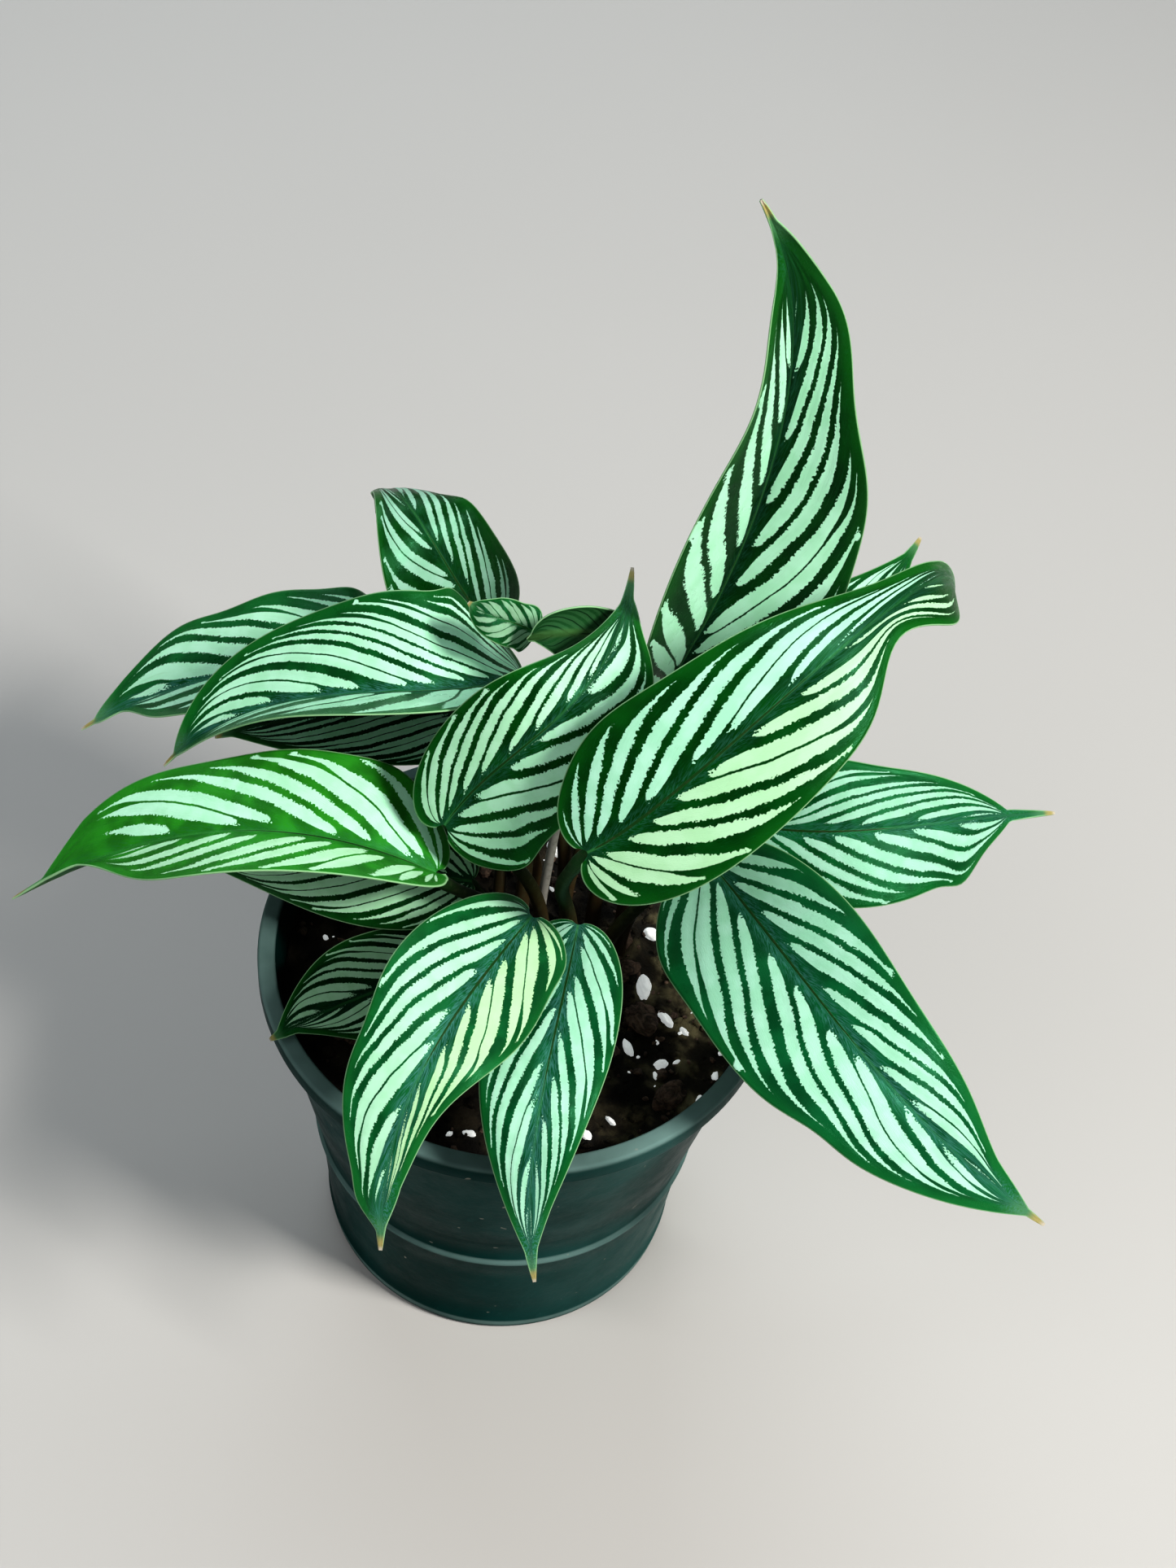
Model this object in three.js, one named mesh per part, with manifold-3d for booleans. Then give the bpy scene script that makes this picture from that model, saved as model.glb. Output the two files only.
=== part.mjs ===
// A potted calathea vittata: seventeen striped leaves in soil, in a round nursery pot.
// Millimetres, +Z up. The origin is the middle of the pot's underside, and the front is at -Y.
import * as THREE from 'three';
import { mergeVertices } from 'three/addons/utils/BufferGeometryUtils.js';
import Module from 'manifold-3d';

const wasm = await Module();
wasm.setup();

// The pot: a standard 4 inch round nursery pot of thin plastic.
const POT = {
  height: 89,
  rimRadius: 52.5,
  footRadius: 39,
  shoulderRadius: 50,
  wall: 1.3,
  rimDepth: 5,
  rimLip: 3.5,
  edge: 0.6,
  footDepth: 4,
  beadHeight: 34,
  beadProud: 1,
  stepHeight: 44,
  floor: 1.6,
  chamfer: 1.4,
  sides: 48,
};
const DRAIN = { count: 6, radius: 4, ring: 28, sides: 12 };

// The soil, with the bark lumps and perlite grains that lie in it.
const SOIL = { top: 79, clearance: 0.3, bump: 0.7, sides: 24, rings: [10, 20, 30, 40], holeSides: 8 };
const BARK = { count: 26, least: 2.4, most: 4.6, flat: 0.7, seed: 11 };
const PERLITE = { count: 34, least: 1.2, most: 2.4, flat: 0.8, seed: 29 };
const LUMP_SPREAD = 42;
const CROWN_CLEARANCE = 5.5;

// The blade: its thickness, the grid that it is split into, where the first and last rows lie, the least half
// width, how much more than that the blade has where its narrow tail begins and over what share of its length
// the tail thins out, how blunt the base is, how near to the base and over what width the lobes fade out, and
// how soon the bends of a margin take hold where the blade is narrow.
const BLADE = {
  thickness: 0.7,
  rows: 16,
  halfColumns: 2,
  first: 0.006,
  last: 0.994,
  least: 0.35,
  tail: 0.8,
  tailLength: 0.08,
  blunt: 0.45,
  lobePower: 6,
  lobeFade: 3,
  bendEase: 3,
};

// The petiole: how deep it is sunk, how far it stands straight up, how far its ends pull on its bend, how much
// of the midrib's way it takes on, and where it ends along the midrib and below the face.
const PETIOLE = {
  sides: 6,
  steps: 11,
  sunk: 13,
  straight: 3,
  reach: 0.4,
  bend: 0.6,
  run: 0.07,
  below: 0.5,
  holeGap: 0.45,
};

// Each leaf grows from foot [x, y] in the crown. Its midrib runs through four points: the blade's base,
// a third and two thirds of the way, and the tip. face holds the way that the upper side looks at the base
// and at the tip. width is half the blade, wide the place of its widest part, point how sharply it narrows
// to the tip, skew how much wider its right half is, lobe how far the base reaches back past the petiole.
// fold is the slope of each half at the midrib and curl how much of it is lost by the margin, in degrees.
// thread is the share of the length that the thin tip takes, stem the petiole's radius, and via a point that
// draws the petiole towards it where it has to go round a neighbour. Each of the bends of a margin is
// [side, place along the midrib, push outwards, lift, spread], the right side being 1.
const LEAVES = {
  tall_leaf: {
    foot: [14, 16], rib: [[23, 37, 132], [33, 41, 168], [36, 46, 205], [26, 46, 238]],
    face: [[0.45, -0.86, 0.3], [0.45, -0.86, 0.2]],
    width: 20, wide: 0.3, point: 1, skew: 0.1, lobe: 5, fold: 34, curl: 5, thread: 0.03, stem: 1.4,
    bends: [[-1, 0.32, 2.4, -4.2, 0.16], [-1, 0.9, -3.5, 0, 0.08], [1, 0.6, -4, 0, 0.12], [1, 0.88, -1, 0, 0.08]],
  },
  broad_right_leaf: {
    foot: [10, 4], rib: [[11, -17, 142], [33, -6, 162], [59, 19, 176], [76, 51, 151]],
    face: [[0, -0.64, 0.76], [0.1, -0.5, 0.8]],
    width: 16.5, wide: 0.3, point: 0.95, skew: 0.03, lobe: 6, fold: 8, curl: 18, thread: 0.03, stem: 1.5,
    bends: [[-1, 0.2, 2.5, 0, 0.12], [-1, 0.67, -4.8, 0, 0.17], [1, 0.64, -6.5, 0, 0.09], [1, 0.79, 2, 0, 0.06]],
  },
  centre_leaf: {
    foot: [4, 8], via: [-8, 1, 121], rib: [[-16, -4, 129], [-4, 0, 147], [8, 11, 157], [13, 46, 153]],
    face: [[0, -0.64, 0.76], [0, -0.64, 0.76]],
    width: 14.5, wide: 0.34, point: 1.15, skew: 0.08, lobe: 6, fold: 8, curl: 20, thread: 0.05, stem: 1.3,
    bends: [[1, 0.08, 4.5, 0, 0.12], [1, 0.72, 3, 0, 0.12], [1, 0.92, 1.5, 0, 0.05]],
  },
  low_left_leaf: {
    foot: [-2, 5], rib: [[-17, -7, 118], [-44, -8, 126], [-71, -8, 118], [-99, -11, 99]],
    face: [[0, 0, 1], [0, 0, 1]],
    width: 17.5, wide: 0.34, point: 0.9, skew: 0, lobe: 5, fold: 18, curl: 10, thread: 0.06, stem: 1.4,
    bends: [[1, 0.75, 4, 0, 0.2], [1, 0.13, 3, 0, 0.1], [-1, 0.2, -5, 3, 0.25], [-1, 0.82, -4, 2, 0.12]],
  },
  middle_left_leaf: {
    foot: [-1, 12], rib: [[-6, 38, 127], [-27, 22, 136], [-52, 22, 128], [-75, 18, 110]],
    face: [[0, 0.05, 1], [0, 0, 1]],
    width: 20, wide: 0.4, point: 0.85, skew: 0, lobe: 5, fold: 34, curl: 5, thread: 0.03, stem: 1.4,
    bends: [[1, 0.12, 5, 0, 0.1], [-1, 0.25, 0, 1.5, 0.15]],
  },
  back_left_leaf: {
    foot: [1, 22], rib: [[-28, 57, 112], [-43, 43, 122], [-69, 40, 114], [-98, 38, 95]],
    face: [[0, 0, 1], [0, 0, 1]],
    width: 18, wide: 0.42, point: 0.8, skew: 0, lobe: 5, fold: 20, curl: 10, thread: 0.03, stem: 1.3,
    bends: [[1, 0.77, 4, 0, 0.1], [1, 0.4, -2, 0, 0.12], [-1, 0.88, -4, 1, 0.08]],
  },
  arched_back_leaf: {
    foot: [7, 24], via: [-6, 47, 112], rib: [[-13, 51, 126], [-23, 50, 143], [-34, 60, 151], [-44, 93, 116]],
    face: [[0, -0.6, 0.8], [0, 0.5, 0.9]],
    width: 15, wide: 0.34, point: 1.15, skew: 0, lobe: 4, fold: 10, curl: 25, thread: 0.03, stem: 1.3,
    bends: [[-1, 0.65, -4, 0, 0.2], [1, 0.35, -2.2, 0, 0.25]],
  },
  right_leaf: {
    foot: [20, 8], rib: [[41, 32, 98], [63, 28, 104], [86, 36, 102], [110, 49, 94]],
    face: [[0, -0.64, 0.76], [0, -0.64, 0.76]],
    width: 14.5, wide: 0.44, point: 0.85, skew: 0.1, lobe: 4, fold: 8, curl: 15, thread: 0.14, stem: 1.3,
    bends: [[1, 0.68, 2.8, 0, 0.06], [-1, 0.3, 2, 0, 0.12]],
  },
  low_right_leaf: {
    foot: [16, 2], rib: [[35, 11, 110], [55, -25, 120], [76, -44, 112], [104, -50, 90]],
    face: [[0, -0.64, 0.76], [0, -0.64, 0.76]],
    width: 18.5, wide: 0.34, point: 0.95, skew: 0.1, lobe: 6, fold: 8, curl: 15, thread: 0.03, stem: 1.4,
    bends: [[1, 0.1, 3, 0, 0.1], [1, 0.55, -1.5, 0, 0.08], [-1, 0.45, -2, 0, 0.2], [-1, 0.85, -1.2, 0, 0.1]],
  },
  front_left_leaf: {
    foot: [1, -1], via: [-3, -5, 107], rib: [[2, -13, 116], [-9, -42, 122], [-16, -60, 113], [-17, -73, 92]],
    face: [[0, -0.64, 0.76], [0, -0.64, 0.76]],
    width: 15, wide: 0.34, point: 1.05, skew: 0.06, lobe: 6, fold: 8, curl: 22, thread: 0.03, stem: 1.4,
    bends: [[-1, 0.58, -4.8, 0, 0.25], [-1, 0.05, 2, 0, 0.06], [1, 0.45, -1.8, 0, 0.12], [1, 0.9, 2, 0, 0.06]],
  },
  front_leaf: {
    foot: [10, -3], rib: [[11, -6, 106], [9, -37, 111], [8, -57, 101], [11, -68, 78]],
    face: [[0, -0.64, 0.76], [0, -0.64, 0.76]],
    width: 13, wide: 0.34, point: 1.3, skew: 0, lobe: 4, fold: 8, curl: 22, thread: 0.03, stem: 1.3,
    bends: [[-1, 0.45, -2, 0, 0.3]],
  },
  small_left_leaf: {
    foot: [-4, 0], rib: [[-10, -4, 88], [-23, -15, 92], [-35, -24, 93], [-45, -31, 91]],
    face: [[0, -0.64, 0.76], [0, -0.64, 0.76]],
    width: 11.5, wide: 0.45, point: 1.15, skew: 0, lobe: 3, fold: 8, curl: 22, thread: 0.03, stem: 1.1,
    bends: [[-1, 0.7, -3.5, 0, 0.25]],
  },
  under_left_leaf: {
    foot: [-7, 6], rib: [[-11, 4, 103], [-28, 0, 108], [-48, 2, 104], [-67, 6, 95]],
    face: [[0, -0.64, 0.76], [0, -0.64, 0.76]],
    width: 11.5, wide: 0.34, point: 1.15, skew: 0, lobe: 4, fold: 8, curl: 22, thread: 0.03, stem: 1.2,
  },
  second_left_leaf: {
    foot: [-6, 14], rib: [[-14, 42, 110], [-31, 37, 114], [-51, 36, 109], [-69, 36, 100]],
    face: [[0, -0.3, 0.95], [0, -0.3, 0.95]],
    width: 12, wide: 0.34, point: 1.15, skew: 0, lobe: 4, fold: 8, curl: 22, thread: 0.03, stem: 1.2,
  },
  hidden_right_leaf: {
    foot: [20, 17], rib: [[37, 44, 120], [49, 52, 130], [62, 65, 134], [74, 90, 131]],
    face: [[0, -0.64, 0.76], [0, -0.64, 0.76]],
    width: 9.5, wide: 0.34, point: 1.15, skew: 0, lobe: 3, fold: 8, curl: 22, thread: 0.03, stem: 1.2,
  },
  folded_leaf: {
    foot: [8, 14], rib: [[13, 38, 144], [7, 30, 150], [1, 26, 153], [-5, 25, 151]],
    face: [[0, 0.9, -0.4], [0, 0.9, -0.4]],
    width: 6, wide: 0.45, point: 0.8, skew: 0, lobe: 1, fold: 15, curl: 40, thread: 0.03, stem: 1,
  },
  young_leaf: {
    foot: [3, 14], via: [11, 29, 145], rib: [[-4, 31, 147], [-8, 30, 150], [-12, 29, 152], [-17, 31, 153]],
    face: [[0, -0.64, 0.76], [0, -0.64, 0.76]],
    width: 4.6, wide: 0.45, point: 0.6, skew: -0.05, lobe: 1, fold: 14, curl: 30, thread: 0.03, stem: 0.9,
    bends: [[1, 0.1, 1.5, 0, 0.12], [-1, 0.08, 1.5, 0, 0.12]],
  },
};

const MATERIALS = {
  pot: new THREE.MeshStandardMaterial({ color: 0x16332f, roughness: 0.45, metalness: 0 }),
  soil: new THREE.MeshStandardMaterial({ color: 0x1d130c, roughness: 0.95, metalness: 0 }),
  leaf: new THREE.MeshStandardMaterial({ color: 0x2f7a3c, roughness: 0.4, metalness: 0 }),
};

// A random number generator that gives the same draws for the same seed.
function seeded(seed) {
  let state = seed;
  return () => {
    state = (state * 16807) % 2147483647;
    return state / 2147483647;
  };
}

// A geometry as a solid, turned inside out if its faces point inwards.
function solid(geometry) {
  geometry.deleteAttribute('normal');
  geometry.deleteAttribute('uv');
  const merged = mergeVertices(geometry, 1e-4);
  const triVerts = Uint32Array.from(merged.index.array);
  const vertProperties = Float32Array.from(merged.attributes.position.array);
  const body = new wasm.Manifold(new wasm.Mesh({ numProp: 3, vertProperties, triVerts }));
  if (body.volume() > 0) return body;
  for (let i = 0; i < triVerts.length; i += 3) {
    [triVerts[i], triVerts[i + 1]] = [triVerts[i + 1], triVerts[i]];
  }
  return new wasm.Manifold(new wasm.Mesh({ numProp: 3, vertProperties, triVerts }));
}

// A solid as a named mesh of the finished group.
function named(name, body, material) {
  const { numProp, vertProperties, triVerts } = body.getMesh();
  const points = [];
  for (let i = 0; i < vertProperties.length; i += numProp) {
    points.push(vertProperties[i], vertProperties[i + 1], vertProperties[i + 2]);
  }
  const geometry = new THREE.BufferGeometry();
  geometry.setAttribute('position', new THREE.Float32BufferAttribute(points, 3));
  geometry.setIndex(Array.from(triVerts));
  geometry.computeVertexNormals();
  const mesh = new THREE.Mesh(geometry, material.clone());
  mesh.name = name;
  return mesh;
}

// A profile of [radius, height] points turned about the Z axis.
function turned(profile, sides) {
  const points = profile.map(([radius, height]) => new THREE.Vector2(radius, height));
  return new THREE.LatheGeometry(points, sides).rotateX(Math.PI / 2);
}

// The pot's wall outside and inside, from the foot up to under the rim.
const wallHeight = POT.height - POT.rimDepth;
const beadRadius = POT.footRadius + 2;
const wallOutside = [
  [POT.footRadius + 0.3, POT.footDepth],
  [POT.footRadius, POT.footDepth + POT.edge],
  [beadRadius, POT.beadHeight - 1],
  [beadRadius + POT.beadProud, POT.beadHeight],
  [beadRadius + 0.3, POT.beadHeight + 1],
  [beadRadius + 1.2, POT.stepHeight],
  [beadRadius + 1.9, POT.stepHeight + POT.edge],
  [POT.shoulderRadius, wallHeight],
];
const wallInside = [
  [POT.footRadius - POT.wall - 0.2, POT.floor + 1],
  [beadRadius - POT.wall, POT.beadHeight],
  [beadRadius + 1.2 - POT.wall, POT.stepHeight],
  [POT.shoulderRadius - POT.wall, wallHeight],
];

// The inside radius of the pot at a height of the wall.
function insideRadius(height) {
  for (let i = 1; i < wallInside.length; i += 1) {
    const [r0, z0] = wallInside[i - 1];
    const [r1, z1] = wallInside[i];
    if (height <= z1) return r0 + ((r1 - r0) * (height - z0)) / (z1 - z0);
  }
  return wallInside.at(-1)[0];
}

function makePot() {
  const { rimRadius, height, edge, rimLip, footRadius, floor, chamfer } = POT;
  const outside = [[0, 0], [footRadius - chamfer, 0], [footRadius, chamfer], ...wallOutside];
  const rim = [
    [rimRadius - edge / 2, wallHeight + 0.2],
    [rimRadius, wallHeight + edge],
    [rimRadius, height - edge],
    [rimRadius - edge, height],
    [rimRadius - rimLip + edge, height],
    [rimRadius - rimLip, height - edge],
  ];
  const inside = [...wallInside].reverse();
  const bottom = [[footRadius - 3, floor], [0, floor]];
  let pot = solid(turned([...outside, ...rim, ...inside, ...bottom], POT.sides));
  for (let i = 0; i < DRAIN.count; i += 1) {
    const angle = ((i + 0.5) / DRAIN.count) * 2 * Math.PI;
    const drill = new THREE.CylinderGeometry(DRAIN.radius, DRAIN.radius, 3 * floor, DRAIN.sides);
    drill.rotateX(Math.PI / 2);
    drill.translate(DRAIN.ring * Math.cos(angle), DRAIN.ring * Math.sin(angle), floor / 2);
    pot = pot.subtract(solid(drill));
  }
  return pot;
}

// The height of the soil's loose surface above its mean.
function soilBump(x, y) {
  return SOIL.bump * (Math.sin(x / 5 + 1) * Math.cos(y / 6) + 0.6 * Math.sin(x / 11 - y / 9));
}

// One lump: a few-sided ball, squashed and turned, sunk by half into the soil.
function lump(radius, flat, random) {
  const ball = new THREE.IcosahedronGeometry(radius, 0);
  ball.scale(1, 0.7 + 0.3 * random(), flat);
  ball.rotateX(0.5 * random());
  ball.rotateZ(2 * Math.PI * random());
  return ball;
}

// Lumps strewn over the soil by a seeded draw, clear of the crown and of each other.
function scatter({ count, least, most, flat, seed }, taken) {
  const random = seeded(seed);
  const lumps = [];
  const feet = Object.values(LEAVES).map((leaf) => leaf.foot);
  while (lumps.length < count) {
    const radius = least + (most - least) * random() ** 2;
    const reach = LUMP_SPREAD * Math.sqrt(random());
    const angle = 2 * Math.PI * random();
    const x = reach * Math.cos(angle);
    const y = reach * Math.sin(angle);
    const clearOfFeet = feet.every(([fx, fy]) => Math.hypot(x - fx, y - fy) > CROWN_CLEARANCE + radius);
    const clearOfLumps = taken.every((other) => Math.hypot(x - other.x, y - other.y) > radius + other.radius);
    if (!clearOfFeet || !clearOfLumps) continue;
    taken.push({ x, y, radius });
    const ball = lump(radius, flat, random);
    ball.translate(x, y, SOIL.top + soilBump(x, y) + 0.1 * radius);
    lumps.push(ball);
  }
  return lumps;
}

function makeSoil() {
  const { top, clearance, bump, sides, rings } = SOIL;
  const floor = POT.floor + clearance;
  const [toeRadius, toeHeight] = wallInside[0];
  const toe = [[0, floor], [toeRadius - 2, floor], [toeRadius - clearance, toeHeight + clearance]];
  const wall = [wallInside[1], wallInside[2], [insideRadius(top - 2 * bump), top]];
  const side = wall.map(([radius, height]) => [radius - clearance, height]);
  const surface = [...rings].reverse().map((radius) => [radius, top]);
  const geometry = turned([...toe, ...side, ...surface, [0, top]], sides);
  const points = geometry.attributes.position;
  for (let i = 0; i < points.count; i += 1) {
    const x = points.getX(i);
    const y = points.getY(i);
    if (points.getZ(i) > top - 0.01) points.setZ(i, top + soilBump(x, y));
  }
  let soil = solid(geometry);
  const taken = [];
  for (const ball of [...scatter(BARK, taken), ...scatter(PERLITE, taken)]) soil = soil.add(solid(ball));
  for (const { foot, stem } of Object.values(LEAVES)) {
    const depth = PETIOLE.sunk + PETIOLE.holeGap;
    const radius = stem + PETIOLE.holeGap;
    const drill = new THREE.CylinderGeometry(radius, radius, 2 * depth, SOIL.holeSides);
    drill.rotateX(Math.PI / 2);
    drill.translate(foot[0], foot[1], top);
    soil = soil.subtract(solid(drill));
  }
  return soil;
}

// The midrib as a curve that passes its second and third points a third and two thirds of the way.
function midrib({ rib }) {
  const [base, third, twoThirds, tip] = rib.map((p) => new THREE.Vector3(...p));
  const blend = (a, b, c, d) => new THREE.Vector3()
    .addScaledVector(base, a / 6)
    .addScaledVector(third, b / 6)
    .addScaledVector(twoThirds, c / 6)
    .addScaledVector(tip, d / 6);
  return new THREE.CubicBezierCurve3(base, blend(-5, 18, -9, 2), blend(2, -9, 18, -5), tip);
}

// The way along the midrib, the way the face looks, and the way to the right margin, at s from base to tip.
function frameAt(leaf, curve, s) {
  const along = curve.getTangent(s);
  const [first, last] = leaf.face.map((f) => new THREE.Vector3(...f).normalize());
  const face = first.lerp(last, s);
  face.addScaledVector(along, -face.dot(along)).normalize();
  const right = new THREE.Vector3().crossVectors(along, face);
  return { along, face, right };
}

// Half the blade's width at s, as a share of the widest.
function outline({ wide, point, thread }, s) {
  const t = Math.min(s / (1 - thread), 1);
  const rise = t < wide ? BLADE.blunt : (point * wide) / (1 - wide);
  const fall = t < wide ? (BLADE.blunt * (1 - wide)) / wide : point;
  return (t / wide) ** rise * ((1 - t) / (1 - wide)) ** fall;
}

// How far a leaf's bends push the margin of one side out and lift it, at s.
function bendAt({ bends = [] }, s, side) {
  const swells = bends
    .filter(([bendSide]) => bendSide === side)
    .map(([, place, push, lift, spread]) => ({ push, lift, share: Math.exp(-(((s - place) / spread) ** 2)) }));
  return {
    push: swells.reduce((sum, { push, share }) => sum + push * share, 0),
    lift: swells.reduce((sum, { lift, share }) => sum + lift * share, 0),
  };
}

// A point of the blade's middle surface, at s from base to tip and u from the left margin to the right one.
function bladePoint(leaf, curve, s, u) {
  const { along, face, right } = frameAt(leaf, curve, s);
  const fold = THREE.MathUtils.degToRad(leaf.fold);
  const curl = THREE.MathUtils.degToRad(leaf.curl);
  const side = Math.sign(u);
  const shape = outline(leaf, s);
  const { push, lift } = bendAt(leaf, s, side);
  const swollen = leaf.width * shape * (1 + leaf.skew * side) + push * Math.min(1, BLADE.bendEase * shape);
  const t = Math.min(s / (1 - leaf.thread), 1);
  const tail = t > 0.5 ? BLADE.tail * Math.min((1 - t) / BLADE.tailLength, 1) : 0;
  const half = Math.max(swollen, BLADE.least + tail);
  const slope = fold - curl * Math.abs(u);
  const out = (half * (Math.sin(fold) - Math.sin(slope))) / curl;
  const rise = (half * (Math.cos(slope) - Math.cos(fold))) / curl + lift * u * u;
  const back = leaf.lobe * u * u * (1 - s) ** BLADE.lobePower * (half / (half + BLADE.lobeFade));
  return curve.getPoint(s)
    .addScaledVector(right, side * out)
    .addScaledVector(face, rise)
    .addScaledVector(along, -back);
}

// The blade: a grid of points on its upper side and one on its underside, closed round the margin.
function blade(leaf) {
  const curve = midrib(leaf);
  const { rows, halfColumns, first, last, thickness } = BLADE;
  const columns = 2 * halfColumns;
  const middle = [];
  for (let i = 0; i <= rows; i += 1) {
    const s = first + ((last - first) * (1 - Math.cos((Math.PI * i) / rows))) / 2;
    middle.push(Array.from({ length: columns + 1 }, (_, j) => bladePoint(leaf, curve, s, j / halfColumns - 1)));
  }
  const normalAt = (i, j) => {
    const up = middle[Math.min(i + 1, rows)][j].clone().sub(middle[Math.max(i - 1, 0)][j]);
    const across = middle[i][Math.min(j + 1, columns)].clone().sub(middle[i][Math.max(j - 1, 0)]);
    return across.cross(up).normalize();
  };
  const points = [];
  for (const offset of [thickness / 2, -thickness / 2]) {
    middle.forEach((row, i) => row.forEach((p, j) => {
      const q = p.clone().addScaledVector(normalAt(i, j), offset);
      points.push(q.x, q.y, q.z);
    }));
  }
  const index = [];
  const under = (rows + 1) * (columns + 1);
  const at = (i, j) => i * (columns + 1) + j;
  const quad = (a, b, c, d) => index.push(a, b, c, a, c, d);
  for (let i = 0; i < rows; i += 1) {
    for (let j = 0; j < columns; j += 1) {
      quad(at(i, j), at(i, j + 1), at(i + 1, j + 1), at(i + 1, j));
      const [a, b, c, d] = [at(i, j), at(i, j + 1), at(i + 1, j + 1), at(i + 1, j)].map((k) => k + under);
      index.push(a, c, b, a, d, c);
    }
    quad(at(i, 0), at(i + 1, 0), at(i + 1, 0) + under, at(i, 0) + under);
    quad(at(i, columns) + under, at(i + 1, columns) + under, at(i + 1, columns), at(i, columns));
  }
  for (let j = 0; j < columns; j += 1) {
    quad(at(0, j) + under, at(0, j + 1) + under, at(0, j + 1), at(0, j));
    quad(at(rows, j), at(rows, j + 1), at(rows, j + 1) + under, at(rows, j) + under);
  }
  const geometry = new THREE.BufferGeometry();
  geometry.setAttribute('position', new THREE.Float32BufferAttribute(points, 3));
  geometry.setIndex(index);
  return geometry;
}

// The petiole: straight up out of the soil, then a bend into the underside of the midrib.
function petiole(leaf) {
  const curve = midrib(leaf);
  const [x, y] = leaf.foot;
  const start = new THREE.Vector3(x, y, SOIL.top - PETIOLE.sunk);
  const leave = new THREE.Vector3(x, y, SOIL.top + PETIOLE.straight);
  const { along, face } = frameAt(leaf, curve, 0);
  const base = curve.getPoint(0).addScaledVector(face, -PETIOLE.below);
  const reach = PETIOLE.reach * base.distanceTo(leave);
  const chord = base.clone().sub(leave).normalize();
  const arrival = chord.addScaledVector(along, PETIOLE.bend).normalize();
  const via = leaf.via ? new THREE.Vector3(...leaf.via) : base.clone().addScaledVector(arrival, -reach);
  const end = curve.getPoint(PETIOLE.run).addScaledVector(face, -PETIOLE.below);
  const path = new THREE.CurvePath();
  path.add(new THREE.LineCurve3(start, leave));
  path.add(new THREE.CubicBezierCurve3(
    leave,
    leave.clone().add(new THREE.Vector3(0, 0, reach)),
    via,
    base,
  ));
  path.add(new THREE.LineCurve3(base, end));
  const section = new THREE.Shape();
  section.absarc(0, 0, leaf.stem, 0, 2 * Math.PI);
  return new THREE.ExtrudeGeometry(section, {
    steps: PETIOLE.steps,
    curveSegments: PETIOLE.sides / 2,
    extrudePath: path,
    bevelEnabled: false,
  });
}

const plant = new THREE.Group();
plant.add(named('pot', makePot(), MATERIALS.pot));
plant.add(named('soil', makeSoil(), MATERIALS.soil));
for (const [name, leaf] of Object.entries(LEAVES)) {
  plant.add(named(name, solid(blade(leaf)).add(solid(petiole(leaf))), MATERIALS.leaf));
}

export default plant;
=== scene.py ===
"""A potted calathea vittata: seventeen striped leaves in soil, in a round nursery pot.

Tables are in millimetres and degrees; objects are in metres, +Z up, with the front at -Y.
"""
import math
from types import SimpleNamespace

import bpy
import numpy as np
from mathutils import Matrix, Vector


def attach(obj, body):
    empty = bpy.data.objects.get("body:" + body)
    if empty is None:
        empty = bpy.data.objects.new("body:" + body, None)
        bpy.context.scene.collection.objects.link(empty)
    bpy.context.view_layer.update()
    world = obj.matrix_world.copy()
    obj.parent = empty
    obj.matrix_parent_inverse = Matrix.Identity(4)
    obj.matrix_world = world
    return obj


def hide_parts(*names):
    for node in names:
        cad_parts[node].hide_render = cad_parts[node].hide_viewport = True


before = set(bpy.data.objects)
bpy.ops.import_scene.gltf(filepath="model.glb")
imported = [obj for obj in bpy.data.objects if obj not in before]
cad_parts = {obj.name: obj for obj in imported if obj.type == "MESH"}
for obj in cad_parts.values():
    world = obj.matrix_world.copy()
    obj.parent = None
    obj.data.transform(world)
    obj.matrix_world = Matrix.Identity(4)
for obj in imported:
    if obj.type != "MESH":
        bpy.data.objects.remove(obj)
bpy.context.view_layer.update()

MM = 0.001

# The photograph's camera: place in millimetres, angles in degrees.
CAMERA = {"place": (9.6, -260.5, 439.0), "pitch": 48.85, "roll": 7.0, "field": 40.0}

# The pot's radii, heights and thicknesses, the driving ones as in the CAD. recess hollows its underside, and
# foot_round, bead_round and edge are the radii of rounded corners.
POT = {
    "height": 89, "rim": 52.5, "foot": 39, "shoulder": 50, "wall": 1.3, "rim_depth": 5, "lip": 3.5,
    "bead": 34, "step": 44, "floor": 1.6, "waist": 41, "ledge": 1.9, "recess": 0.4,
    "foot_round": 1.4, "foot_top": 4, "foot_edge": 0.6, "bead_round": 0.9, "edge": 0.7, "sides": 160,
}
DRAIN = {"count": 6, "radius": 4, "ring": 28, "sides": 32, "cut": 8}

# The soil: its surface and, under that, the radius and height of each ring down to its underside.
SOIL = {"top": 79, "radius": 47.4, "bump": 0.7, "rings": 90, "sides": 200}
SOIL_BELOW = ((39.4, 34), (37.2, 2.9), (35.5, 1.9))

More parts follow.
